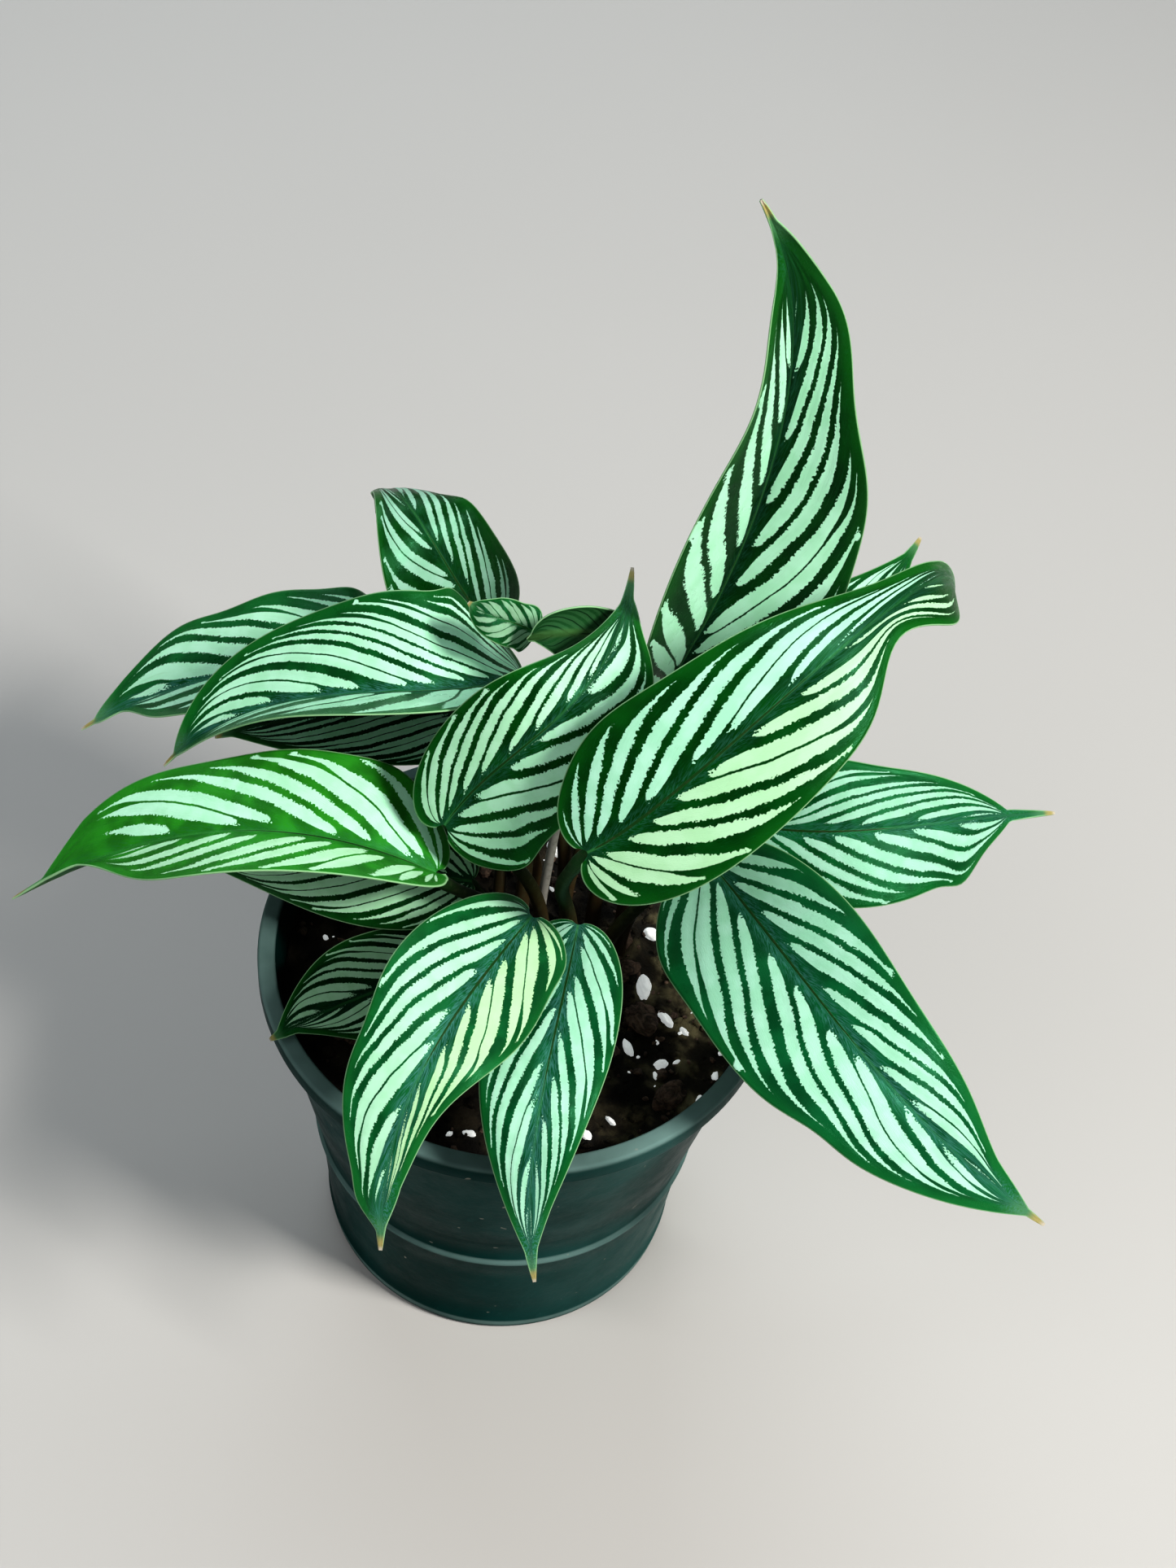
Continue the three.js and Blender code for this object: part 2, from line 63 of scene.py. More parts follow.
# Each leaf grows from foot [x, y] in the crown. Its midrib runs through four points: the blade's base,
# a third and two thirds of the way, and the tip. face is the way that the upper side looks at the base
# and at the tip. width is half the blade, wide the place of its widest part, point how sharply it narrows
# to the tip, skew how much wider its right half is, lobe how far the base reaches back past the petiole.
# fold is the slope of each half at the midrib and curl how much of it is lost by the margin. thread is the
# share of the length that the thin tip takes, stem the petiole's radius, via a point that draws the petiole.
# Each bend of a margin is (side, place along the midrib, push outwards, lift, spread), right being side 1.
TO_CAMERA = (0, -0.64, 0.76)
USUAL_LEAF = dict(
    face=(TO_CAMERA, TO_CAMERA), wide=0.34, point=1.15, skew=0, fold=8, curl=22, thread=0.03, bends=())
LEAVES = {
    "tall_leaf": dict(
        foot=(14, 16), rib=((23, 37, 132), (33, 41, 168), (36, 46, 205), (26, 46, 238)),
        face=((0.45, -0.86, 0.3), (0.45, -0.86, 0.2)),
        width=20, wide=0.3, point=1, skew=0.1, lobe=5, fold=34, curl=5, stem=1.4,
        bends=(
            (-1, 0.32, 2.4, -4.2, 0.16), (-1, 0.9, -3.5, 0, 0.08),
            (1, 0.6, -4, 0, 0.12), (1, 0.88, -1, 0, 0.08))),
    "broad_right_leaf": dict(
        foot=(10, 4), rib=((11, -17, 142), (33, -6, 162), (59, 19, 176), (76, 51, 151)),
        face=(TO_CAMERA, (0.1, -0.5, 0.8)),
        width=16.5, wide=0.3, point=0.95, skew=0.03, lobe=6, curl=18, stem=1.5,
        bends=(
            (-1, 0.2, 2.5, 0, 0.12), (-1, 0.67, -4.8, 0, 0.17),
            (1, 0.64, -6.5, 0, 0.09), (1, 0.79, 2, 0, 0.06))),
    "centre_leaf": dict(
        foot=(4, 8), via=(-8, 1, 121),
        rib=((-16, -4, 129), (-4, 0, 147), (8, 11, 157), (13, 46, 153)),
        width=14.5, skew=0.08, lobe=6, curl=20, thread=0.05, stem=1.3,
        bends=((1, 0.08, 4.5, 0, 0.12), (1, 0.72, 3, 0, 0.12), (1, 0.92, 1.5, 0, 0.05))),
    "low_left_leaf": dict(
        foot=(-2, 5), rib=((-17, -7, 118), (-44, -8, 126), (-71, -8, 118), (-99, -11, 99)),
        face=((0, 0, 1), (0, 0, 1)),
        width=17.5, point=0.9, lobe=5, fold=18, curl=10, thread=0.06, stem=1.4,
        bends=((1, 0.75, 4, 0, 0.2), (1, 0.13, 3, 0, 0.1), (-1, 0.2, -5, 3, 0.25), (-1, 0.82, -4, 2, 0.12))),
    "middle_left_leaf": dict(
        foot=(-1, 12), rib=((-6, 38, 127), (-27, 22, 136), (-52, 22, 128), (-75, 18, 110)),
        face=((0, 0.05, 1), (0, 0, 1)),
        width=20, wide=0.4, point=0.85, lobe=5, fold=34, curl=5, stem=1.4,
        bends=((1, 0.12, 5, 0, 0.1), (-1, 0.25, 0, 1.5, 0.15))),
    "back_left_leaf": dict(
        foot=(1, 22), rib=((-28, 57, 112), (-43, 43, 122), (-69, 40, 114), (-98, 38, 95)),
        face=((0, 0, 1), (0, 0, 1)),
        width=18, wide=0.42, point=0.8, lobe=5, fold=20, curl=10, stem=1.3,
        bends=((1, 0.77, 4, 0, 0.1), (1, 0.4, -2, 0, 0.12), (-1, 0.88, -4, 1, 0.08))),
    "arched_back_leaf": dict(
        foot=(7, 24), via=(-6, 47, 112),
        rib=((-13, 51, 126), (-23, 50, 143), (-34, 60, 151), (-44, 93, 116)),
        face=((0, -0.6, 0.8), (0, 0.5, 0.9)),
        width=15, lobe=4, fold=10, curl=25, stem=1.3,
        bends=((-1, 0.65, -4, 0, 0.2), (1, 0.35, -2.2, 0, 0.25))),
    "right_leaf": dict(
        foot=(20, 8), rib=((41, 32, 98), (63, 28, 104), (86, 36, 102), (110, 49, 94)),
        width=14.5, wide=0.44, point=0.85, skew=0.1, lobe=4, curl=15, thread=0.14, stem=1.3,
        bends=((1, 0.68, 2.8, 0, 0.06), (-1, 0.3, 2, 0, 0.12))),
    "low_right_leaf": dict(
        foot=(16, 2), rib=((35, 11, 110), (55, -25, 120), (76, -44, 112), (104, -50, 90)),
        width=18.5, point=0.95, skew=0.1, lobe=6, curl=15, stem=1.4,
        bends=((1, 0.1, 3, 0, 0.1), (1, 0.55, -1.5, 0, 0.08), (-1, 0.45, -2, 0, 0.2),
            (-1, 0.85, -1.2, 0, 0.1))),
    "front_left_leaf": dict(
        foot=(1, -1), via=(-3, -5, 107),
        rib=((2, -13, 116), (-9, -42, 122), (-16, -60, 113), (-17, -73, 92)),
        width=15, point=1.05, skew=0.06, lobe=6, stem=1.4,
        bends=((-1, 0.58, -4.8, 0, 0.25), (-1, 0.05, 2, 0, 0.06), (1, 0.45, -1.8, 0, 0.12),
            (1, 0.9, 2, 0, 0.06))),
    "front_leaf": dict(
        foot=(10, -3), rib=((11, -6, 106), (9, -37, 111), (8, -57, 101), (11, -68, 78)),
        width=13, point=1.3, lobe=4, stem=1.3,
        bends=((-1, 0.45, -2, 0, 0.3),)),
    "small_left_leaf": dict(
        foot=(-4, 0), rib=((-10, -4, 88), (-23, -15, 92), (-35, -24, 93), (-45, -31, 91)),
        width=11.5, wide=0.45, lobe=3, stem=1.1,
        bends=((-1, 0.7, -3.5, 0, 0.25),)),
    "under_left_leaf": dict(
        foot=(-7, 6), rib=((-11, 4, 103), (-28, 0, 108), (-48, 2, 104), (-67, 6, 95)),
        width=11.5, lobe=4, stem=1.2),
    "second_left_leaf": dict(
        foot=(-6, 14), rib=((-14, 42, 110), (-31, 37, 114), (-51, 36, 109), (-69, 36, 100)),
        face=((0, -0.3, 0.95), (0, -0.3, 0.95)),
        width=12, lobe=4, stem=1.2),
    "hidden_right_leaf": dict(
        foot=(20, 17), rib=((37, 44, 120), (49, 52, 130), (62, 65, 134), (74, 90, 131)),
        width=9.5, lobe=3, stem=1.2),
    "folded_leaf": dict(
        foot=(8, 14), rib=((13, 38, 144), (7, 30, 150), (1, 26, 153), (-5, 25, 151)),
        face=((0, 0.9, -0.4), (0, 0.9, -0.4)),
        width=6, wide=0.45, point=0.8, lobe=1, fold=15, curl=40, stem=1),
    "young_leaf": dict(
        foot=(3, 14), via=(11, 29, 145),
        rib=((-4, 31, 147), (-8, 30, 150), (-12, 29, 152), (-17, 31, 153)),
        width=4.6, wide=0.45, point=0.6, skew=-0.05, lobe=1, fold=14, curl=30, stem=0.9,
        bends=((1, 0.1, 1.5, 0, 0.12), (-1, 0.08, 1.5, 0, 0.12))),
}

# The bark lumps and perlite grains strewn by the CAD's rule, over this spread and this clear of the petioles.
BARK = {"count": 26, "least": 2.4, "most": 4.6, "seed": 11}
PERLITE = {"count": 34, "least": 1.2, "most": 2.4, "seed": 29}
LUMP_SPREAD = 42
CROWN_CLEARANCE = 5.5

# The lumps that show in the photo between the leaves: x, y, radius and turn.
SEEN_PERLITE = [
    (26, 0, 2.8, 0.3), (31, -7, 2, 0.88), (24, -15, 1.9, 0.82), (35, -9, 1.1, 0.4), (39, -25, 1.2, 0.7),
    (22, -32, 1.2, 0.9), (-5, -39, 1.3, 0.5), (30, -20, 0.9, 0.3), (34, -16, 0.8, 0.1), (43, -13, 1, 0.6),
]
SEEN_BARK = [(22, 3.5, 3.2, 0.1), (26, -7.5, 3.8, 0.3), (20, 11, 3, 0.6)]

# The crumbs between them: how many are dark, brown and white, and their spread and radii.
CRUMBS = {"dark": 620, "brown": 200, "white": 80, "spread": 46, "least": 0.35, "more": 1.1, "seed": 5}

# How a lump is made from a ball: the first one's seed, how far and how finely the surface is pushed in and
# out, its sizes as shares of its radius, and how far its middle lies above the soil. wide is the least width
# and how much a draw adds.
LUMP_SHAPES = {
    "bark": dict(first=0, rough=0.55, pitch=1.6, long=1.05, wide=(0.62, 0.3), high=0.6, raised=0.1),
    "perlite": dict(first=60, rough=0.3, pitch=1.5, long=1, wide=(0.6, 0.3), high=0.7, raised=0.35),
    "crumb": dict(first=0, rough=0.6, pitch=1.7, long=1, wide=(0.5, 0.5), high=0.7, raised=0.3),
}

# The look of each blade. For its left and right halves, count is how close the pairs of stripes stand, start
# where the first one lies, sweep how far the stripes lean to the tip, and reach how far they run towards the
# margin. seed draws the rest of them, bar is how broad they are, plain where they end, and size sets how far
# off the midrib they begin. warm tints the stripes of the two halves yellow, and dark is the colour between
# them, which differs from leaf to leaf partly as painted shade and light. pale is how light the stripes are,
# raised on shaded leaves and lowered on well lit ones as painted light and shade, and sheen how much of a
# painted bluish highlight lies by the midrib. wave is how far the margin rises and falls and turns how often.
# rib is the radius of the rib under the blade, as a share of the stem's.
# USUAL_LOOK holds what a blade has where it says nothing else.
USUAL_LOOK = dict(
    plain=0.9, warm=(0.1, 0.1), pale=1, sheen=0.1, wave=0.4, turns=2, bar=1.0, reach=(1.0, 1.0), rib=0.8)
LOOKS = {
    "tall_leaf": dict(
        seed=3, count=(4.8, 5.2), start=(0.4, 0.84), sweep=(0.14, 0.56), plain=0.8, size=1,
        dark=(0.001, 0.026, 0.002), pale=1.06, sheen=0.15, wave=1.2, turns=2.6, reach=(1.1, 1)),
    "broad_right_leaf": dict(
        seed=8, count=(5.2, 6.3), start=(0.68, 0.56), sweep=(0.44, 0.26), plain=0.82, size=0.97,
        warm=(0.0, 0.4), dark=(0.001, 0.042, 0.003), pale=0.95, sheen=0.2, wave=0.8, turns=2.2),
    "centre_leaf": dict(
        seed=14, count=(4.3, 3.3), start=(0.76, 0.18), sweep=(0.68, 0.8), plain=0.88, size=0.85,
        warm=(0.2, 0.15), dark=(0.001, 0.042, 0.003), sheen=0.25, wave=0.5),
    "low_left_leaf": dict(
        seed=21, count=(6.3, 4.4), start=(0.44, 0.45), sweep=(0.02, 0.5), plain=0.79, size=1,
        warm=(0.3, 0.1), dark=(0.02, 0.19, 0.013), pale=1.1, wave=0.8),
    "middle_left_leaf": dict(
        seed=27, count=(4.8, 5), start=(0.32, 0.84), sweep=(-0.1, 1), size=1,
        dark=(0.003, 0.065, 0.012), pale=1.08, sheen=0.7, wave=0.6),
    "back_left_leaf": dict(
        seed=31, count=(4.5, 3.4), start=(0.2, 0.05), sweep=(0.1, 0.85), size=1,
        dark=(0.006, 0.09, 0.022), pale=1.08, sheen=0.7, wave=0.8),
    "arched_back_leaf": dict(
        seed=38, count=(7, 4.3), start=(0.08, 0.75), sweep=(0.17, 0.85), plain=0.92, size=0.88,
        warm=(0.0, 0.0), dark=(0.002, 0.04, 0.004), pale=0.68, wave=0.5,
        bar=0.82, reach=(1.05, 0.88)),
    "right_leaf": dict(
        seed=44, count=(3.5, 4.5), start=(0.32, 0.16), sweep=(1.1, 0.53), size=0.85,
        warm=(0.0, 0.0), dark=(0.003, 0.08, 0.018), pale=0.83, sheen=0.4, wave=0.6),
    "low_right_leaf": dict(
        seed=52, count=(5, 4.8), start=(0.44, 0.1), sweep=(0.41, 0.6), size=1,
        warm=(0.0, 0.0), dark=(0.003, 0.08, 0.024), pale=0.94, sheen=0.6, wave=0.6),
    "front_left_leaf": dict(
        seed=59, count=(5, 3.6), start=(0.6, 0.98), sweep=(0.44, 0.75), size=0.88,
        warm=(0.55, 0.15), dark=(0.004, 0.08, 0.02), pale=0.94, sheen=0.8, wave=0.7),
    "front_leaf": dict(
        seed=63, count=(4.8, 4.3), start=(0.6, 0.48), sweep=(0.47, 0.68), plain=1.02, size=0.76,
        warm=(0.0, 0.0), dark=(0.002, 0.07, 0.02), pale=0.91, sheen=0.8, wave=0.5),
    "small_left_leaf": dict(
        seed=71, count=(4.7, 4.3), start=(0.4, 0.32), sweep=(0.74, 0.83), size=0.68,
        warm=(0.3, 0.3), dark=(0.001, 0.02, 0.002), pale=0.85),
    "under_left_leaf": dict(
        seed=77, count=(4.8, 4.8), start=(0.76, 0.3), sweep=(0.62, 0.6), size=0.68,
        warm=(0.3, 0.3), dark=(0.001, 0.03, 0.002)),
    "second_left_leaf": dict(
        seed=83, count=(4.3, 4.8), start=(0, 0.3), sweep=(1, 0.3), size=0.71,
        dark=(0.001, 0.025, 0.002), pale=1.12),
    "hidden_right_leaf": dict(
        seed=91, count=(4.3, 4.3), start=(0.1, 0.6), sweep=(0.4, 0.4), size=0.56,
        dark=(0.002, 0.055, 0.008)),
    "folded_leaf": dict(
        seed=97, count=(5.5, 5.5), start=(0, 0.5), sweep=(0.4, 0.4), size=0.35,
        dark=(0.001, 0.03, 0.006), wave=0.2, rib=0.35),
    "young_leaf": dict(
        seed=101, count=(3.2, 3.2), start=(0.2, 0.7), sweep=(0.4, 0.4), size=0.27,
        warm=(0.3, 0.3), dark=(0.004, 0.06, 0.012), pale=0.52),
}

# The half width that a blade's grid, veins and texture are made for.
USUAL_WIDTH = 17

# The blade's grid, the least share of it on a small leaf, and its first and last rows. Then its thickness at
# the midrib and the margin, how blunt the base is and how bends fade out there, and its least half width.
# tail is how much more than that it has where the narrow end begins, and tail_length where that thins out.
# The lobes at the base fade out by lobe_power along the blade and over lobe_width across it.
BLADE = {
    "rows": 110, "half_columns": 26, "detail": 0.6, "first": 0.0006, "last": 0.9994,
    "middle": 0.5, "margin": 0.3, "blunt": 0.45, "ease": 3, "least": 0.3, "tail": 0.9, "tail_length": 0.09,
    "lobe_power": 6, "lobe_width": 3,
}

# The channel along the midrib and the ridges of the side veins.
RELIEF = {"channel": 0.35, "channel_width": 0.9, "vein": 0.09}

# The petiole: how deep it stands, how far it rises straight, how far its bend reaches and leans over.
# foot, thins and joint are its radius at the soil, what it loses on the way up and the swelling by the blade,
# as shares of the stem's. The rib thins out to rib_end, and lies rib_sunk of its radius below the midrib.
PETIOLE = {
    "sides": 14, "rings": 40, "rib_rings": 60, "sunk": 8, "straight": 3, "reach": 0.4, "bend": 0.6,
    "foot": 1.15, "thins": 0.35, "joint": 0.22, "joint_at": 0.93, "joint_length": 0.06,
    "rib_end": 0.06, "rib_sunk": 0.85,
}

# Where the stripes run. They end this far from the margin at the base, and this much further at the tip, on a
# blade of the usual width. Their room is never narrower than least. A vein bends towards the tip by spread
# and power, and crowd says how much closer the veins stand at the base. fan is how many pairs of stripes the
# lobe there holds at least, over fan_length of the blade.
VEIN = {
    "margin": 1.0, "more": 1.0, "least": 0.3, "spread": 1.5, "power": 0.6, "crowd": 1.5,
    "fan": 1.6, "fan_length": 0.1,
}

# The colours of a blade's upper face and of its back; sheen is the colour of a painted bluish highlight.
COLOUR = {
    "mint": (0.39, 0.80, 0.56), "light_mint": (0.47, 0.87, 0.66), "warm": (0.56, 0.82, 0.36),
    "vessel": (0.30, 0.62, 0.34), "grain": (0.006, 0.11, 0.025), "sheen": (0.07, 0.24, 0.22),
    "midrib": (0.07, 0.30, 0.08), "rim": (0.40, 0.70, 0.38),
    "back": (0.014, 0.075, 0.020), "back_stripe": (0.05, 0.15, 0.06), "back_vein": (0.002, 0.016, 0.004),
    "back_midrib": (0.08, 0.18, 0.05),
}

# The colours of the tip: where along the blade each begins and is full, how much it covers, and the colour.
TIP_COLOURS = [
    (0.9, 0.965, 0.5, (0.15, 0.35, 0.17)),
    (0.955, 0.98, 1.0, (0.42, 0.36, 0.14)),
    (0.985, 0.998, 1.0, (0.58, 0.52, 0.42)),
]

# Where a leaf's parts lie in its texture: left side and width of each, and the place of the petiole's ends.
TEXTURE = {"upper": (0.01, 0.53), "under": (0.56, 0.34), "strip": (0.92, 0.06), "ends": (0.985, 0.005)}


def unit(v):
    v = np.asarray(v, float)
    return v / np.linalg.norm(v, axis=-1, keepdims=True)


def midrib(rib, s):
    """Points and directions of the midrib at s, from base to tip."""
    base, third, two_thirds, tip = (np.asarray(p, float) for p in rib)
    first = (-5 * base + 18 * third - 9 * two_thirds + 2 * tip) / 6
    second = (2 * base - 9 * third + 18 * two_thirds - 5 * tip) / 6
    s = np.asarray(s, float)[..., None]
    q = 1 - s
    point = q**3 * base + 3 * q * q * s * first + 3 * q * s * s * second + s**3 * tip
    along = 3 * q * q * (first - base) + 6 * q * s * (second - first) + 3 * s * s * (tip - second)
    return point, unit(along)


def blade_frame(leaf, s):
    """The midrib's points, and the ways along it, out of the face and to the right margin, at s."""
    point, along = midrib(leaf["rib"], s)
    first, last = (unit(f) for f in leaf["face"])
    face = first * (1 - s)[:, None] + last * s[:, None]
    face = unit(face - (face * along).sum(-1, keepdims=True) * along)
    return point, along, face, np.cross(along, face)


def bends(leaf, s, side):
    """How far the leaf's bends push a margin out and lift it, at s, on one side."""
    out, up = np.zeros_like(s), np.zeros_like(s)
    for at, reach, push, lift, spread in leaf["bends"]:
        if at == side:
            swell = np.exp(-((s - reach) / spread) ** 2)
            out, up = out + push * swell, up + lift * swell
    return out, up


def half_width(leaf, s, side):
    """The blade's width from the midrib to the margin at s, on one side."""
    wide, point, blunt = leaf["wide"], leaf["point"], BLADE["blunt"]
    t = np.clip(s / (1 - leaf["thread"]), 0, 1)
    low = (t / wide) ** blunt * ((1 - t) / (1 - wide)) ** (blunt * (1 - wide) / wide)
    high = (t / wide) ** (point * wide / (1 - wide)) * ((1 - t) / (1 - wide)) ** point
    shape = np.where(t < wide, low, high)
    push = bends(leaf, s, side)[0] * np.minimum(1, BLADE["ease"] * shape)
    tail = BLADE["tail"] * np.minimum((1 - s) / max(BLADE["tail_length"], leaf["thread"]), 1)
    least = BLADE["least"] + np.where(t > 0.5, tail, 0)
    return np.maximum(leaf["width"] * shape * (1 + leaf["skew"] * side) + push, least)


def vein_place(leaf, look, s, side, a):
    """Where the vein through each point leaves the midrib, and the point's share of the striped width."""
    half = half_width(leaf, s, side)
    margin = (VEIN["margin"] + VEIN["more"] * s) * leaf["width"] / USUAL_WIDTH
    share = a * half / np.maximum(half - margin, VEIN["least"])
    bend = 1 - (1 - np.clip(share, 0, 1)) ** VEIN["power"]
    start = np.log(np.clip(1 - s, 1e-4, 1))
    sweep = look["sweep"][side > 0]
    return 1 - np.exp((start + sweep * bend) / (1 + VEIN["spread"] * bend)), share


def pair_number(look, s, side, place, share):
    """Which pair of stripes a vein place lies in, on one side."""
    sweep, count, start = (look[key][side > 0] for key in ("sweep", "count", "start"))
    crowd = VEIN["crowd"]
    lobe = crowd * count * (math.exp(sweep / (1 + VEIN["spread"])) - 1)
    fan = max(0, VEIN["fan"] - lobe) * np.minimum(share, 1) * np.exp(-s / VEIN["fan_length"])
    number = np.where(place > 0, np.log(1 + crowd * np.maximum(place, 0)), crowd * place)
    return count * number + start - fan


def middle_surface(leaf, look, s, u):
    """The blade's middle surface on the grid s by u, and each point's way to the margin and to the midrib."""
    point, along, face, right = blade_frame(leaf, s)
    fold, curl = math.radians(leaf["fold"]), math.radians(leaf["curl"])
    a = np.abs(u)[None, :]
    side = np.sign(u)[None, :]
    slope = fold - curl * a
    out = (math.sin(fold) - np.sin(slope)) / curl
    up = (np.cos(slope) - math.cos(fold)) / curl
    turn = 2 * math.pi * look["turns"] * s[:, None] + look["seed"] + 2 * (side > 0)
    calm = np.sqrt(np.clip(np.sin(math.pi * s), 0, 1))[:, None]
    wave = look["wave"] * np.sin(turn) * a**2.5 * calm
    half = np.where(side > 0, half_width(leaf, s, 1)[:, None], half_width(leaf, s, -1)[:, None])
    lift = np.where(side > 0, bends(leaf, s, 1)[1][:, None], bends(leaf, s, -1)[1][:, None])
    fade = (1 - s[:, None]) ** BLADE["lobe_power"] * half / (half + BLADE["lobe_width"])
    back = leaf["lobe"] * a**2 * fade
    surface = (
        point[:, None, :]
        + (half * out * side)[..., None] * right[:, None, :]
        + (half * up + wave + lift * a**2)[..., None] * face[:, None, :]
        - back[..., None] * along[:, None, :]
    )
    return surface, half * (1 - a), half * a


def surface_normals(points):
    """Unit normals of a grid of points, out of the upper face."""
    down = np.gradient(points, axis=0)
    across = np.gradient(points, axis=1)
    return unit(np.cross(across, down))


def grid_faces(rows, columns, start, flip):
    """The quads of a grid of points, numbered from start."""
    i, j = np.meshgrid(np.arange(rows - 1), np.arange(columns - 1), indexing="ij")
    a = (start + i * columns + j).ravel()
    quads = np.stack([a, a + 1, a + columns + 1, a + columns], 1)
    return quads[:, ::-1] if flip else quads


def petiole_path(leaf, look):
    """Points and radii along the petiole and the rib, and how far up the petiole each one lies."""
    stem = leaf["stem"]
    foot = np.array([*leaf["foot"], SOIL["top"] - PETIOLE["sunk"]], float)
    leave = np.array([*leaf["foot"], SOIL["top"] + PETIOLE["straight"]], float)
    s = np.linspace(0, 1, PETIOLE["rib_rings"]) ** 1.2 * (1 - leaf["thread"])
    point, along, face, _ = blade_frame(leaf, s)
    rib_radius = stem * (look["rib"] * (1 - s) ** 1.1 + PETIOLE["rib_end"])
    rib = point - face * (PETIOLE["rib_sunk"] * rib_radius)[:, None]
    base = rib[0]
    reach = PETIOLE["reach"] * np.linalg.norm(base - leave)
    arrival = unit(unit(base - leave) + PETIOLE["bend"] * along[0])
    via = np.array(leaf["via"], float) if "via" in leaf else base - reach * arrival
    t = np.linspace(0, 1, PETIOLE["rings"])[:, None]
    q = 1 - t
    rise = leave + np.array([0, 0, reach])
    bend = q**3 * leave + 3 * q * q * t * rise + 3 * q * t * t * via + t**3 * base
    path = np.vstack([foot[None], bend, rib[1:]])
    t = t[:, 0]
    swell = 1 + PETIOLE["joint"] * np.exp(-((t - PETIOLE["joint_at"]) / PETIOLE["joint_length"]) ** 2)
    risen = stem * (PETIOLE["foot"] - PETIOLE["thins"] * t) * swell
    radius = np.concatenate([[stem * PETIOLE["foot"]], risen, rib_radius[1:]])
    way = np.concatenate([[0], t, np.full(len(s) - 1, 1.0)])
    return path, radius, way


def tube(path, radius, sides):
    """Rings of points round a path, each turned as little as it can be from the last."""
    along = unit(np.gradient(path, axis=0))
    normal = unit(np.cross(along[0], [0.3, 1, 0.2]))
    rings = []
    angles = np.linspace(0, 2 * math.pi, sides, endpoint=False)
    for p, t, r in zip(path, along, radius):
        normal = unit(normal - t * (normal @ t))
        other = np.cross(t, normal)
        rings.append(p + r * (np.cos(angles)[:, None] * normal + np.sin(angles)[:, None] * other))
    return np.array(rings)


def blade_rows_and_columns(leaf):
    """Where the blade's rows lie along it, closer at its ends, and its columns across it."""
    detail = max(leaf["width"] / USUAL_WIDTH, BLADE["detail"])
    ramp = (1 - np.cos(np.linspace(0, math.pi, int(BLADE["rows"] * detail) + 1))) / 2
    s = BLADE["first"] + (BLADE["last"] - BLADE["first"]) * ramp
    return s, np.linspace(-1, 1, 2 * int(BLADE["half_columns"] * detail) + 1)


def blade_grids(leaf, look):
    """The points of the blade's upper face and underside as grids, and the values there for its material."""
    s, u = blade_rows_and_columns(leaf)
    middle, rim, out = middle_surface(leaf, look, s, u)
    a = np.abs(u)[None, :]
    along, across = np.broadcast_arrays(s[:, None], u[None, :])
    place, share = np.where(u > 0, *(vein_place(leaf, look, along, side, a) for side in (1, -1)))
    number = np.where(u > 0, *(pair_number(look, along, side, place, share) for side in (1, -1)))
    calm = np.sin(math.pi * np.clip(s, 0, 1))[:, None] ** 0.5
    channel = RELIEF["channel"] * np.exp(-(out / RELIEF["channel_width"]) ** 2) * (1 - s[:, None]) * calm
    veins = RELIEF["vein"] * np.sin(4 * math.pi * number) * np.sin(math.pi * a) * calm
    narrow = np.minimum(half_width(leaf, s, 1), half_width(leaf, s, -1))[:, None]
    thick = BLADE["middle"] + (BLADE["margin"] - BLADE["middle"]) * a
    thick = np.minimum(thick, 0.6 * narrow + 0.1)
    relief = veins - channel
    normal = surface_normals(middle)
    upper = middle + normal * (thick / 2 + relief)[..., None]
    lower = middle - normal * (thick / 2 - relief)[..., None]
    return upper, lower, {"s": along, "u": across, "pair": number, "share": share, "rim": rim, "out": out}


def tube_places(rings):
    """The ring and the side of each quad of the petiole."""
    ring, side = np.meshgrid(np.arange(rings - 1), np.arange(PETIOLE["sides"]), indexing="ij")
    return ring.ravel(), side.ravel()


def leaf_faces(rows, columns, rings):
    """The quads of the upper face, of the underside, of the edge round them and of the petiole."""
    count, sides = rows * columns, PETIOLE["sides"]
    loop = np.concatenate([
        np.arange(columns),
        np.arange(1, rows) * columns + columns - 1,
        (rows - 1) * columns + np.arange(columns - 2, -1, -1),
        np.arange(rows - 2, 0, -1) * columns,
    ])
    after = np.roll(loop, -1)
    edge = np.stack([after, loop, loop + count, after + count], 1)
    ring, side = tube_places(rings)
    p, q = (2 * count + ring * sides + step % sides for step in (side, side + 1))
    petiole = np.stack([p, q, q + sides, p + sides], 1)
    return grid_faces(rows, columns, 0, False), grid_faces(rows, columns, count, True), edge, petiole


def leaf_texture_places(rows, columns, faces, rings):
    """Texture places for every corner: upper face left, underside right of it, petiole in a strip."""
    count, sides = rows * columns, PETIOLE["sides"]
    across = np.tile(np.arange(columns) / (columns - 1), rows)
    up = 0.01 + 0.98 * np.repeat(np.arange(rows) / (rows - 1), columns)
    sheets = (TEXTURE["upper"], TEXTURE["under"])
    places = np.vstack([np.stack([x + wide * across, up], 1) for x, wide in sheets])
    top, bottom, edge, _ = faces
    corners = [places[quads.ravel()] for quads in (top, bottom, np.where(edge >= count, edge - count, edge))]
    ring, side = tube_places(rings)
    x, wide = TEXTURE["strip"]
    x0, x1 = (x + wide * (side + step) / sides for step in (0, 1))
    y0, y1 = (0.01 + 0.98 * (ring + step) / rings for step in (0, 1))
    strip = np.stack([np.stack(corner, 1) for corner in ((x0, y0), (x1, y0), (x1, y1), (x0, y1))], 1)
    return np.vstack([*corners, strip.reshape(-1, 2), np.tile(TEXTURE["ends"], (2 * sides, 1))])


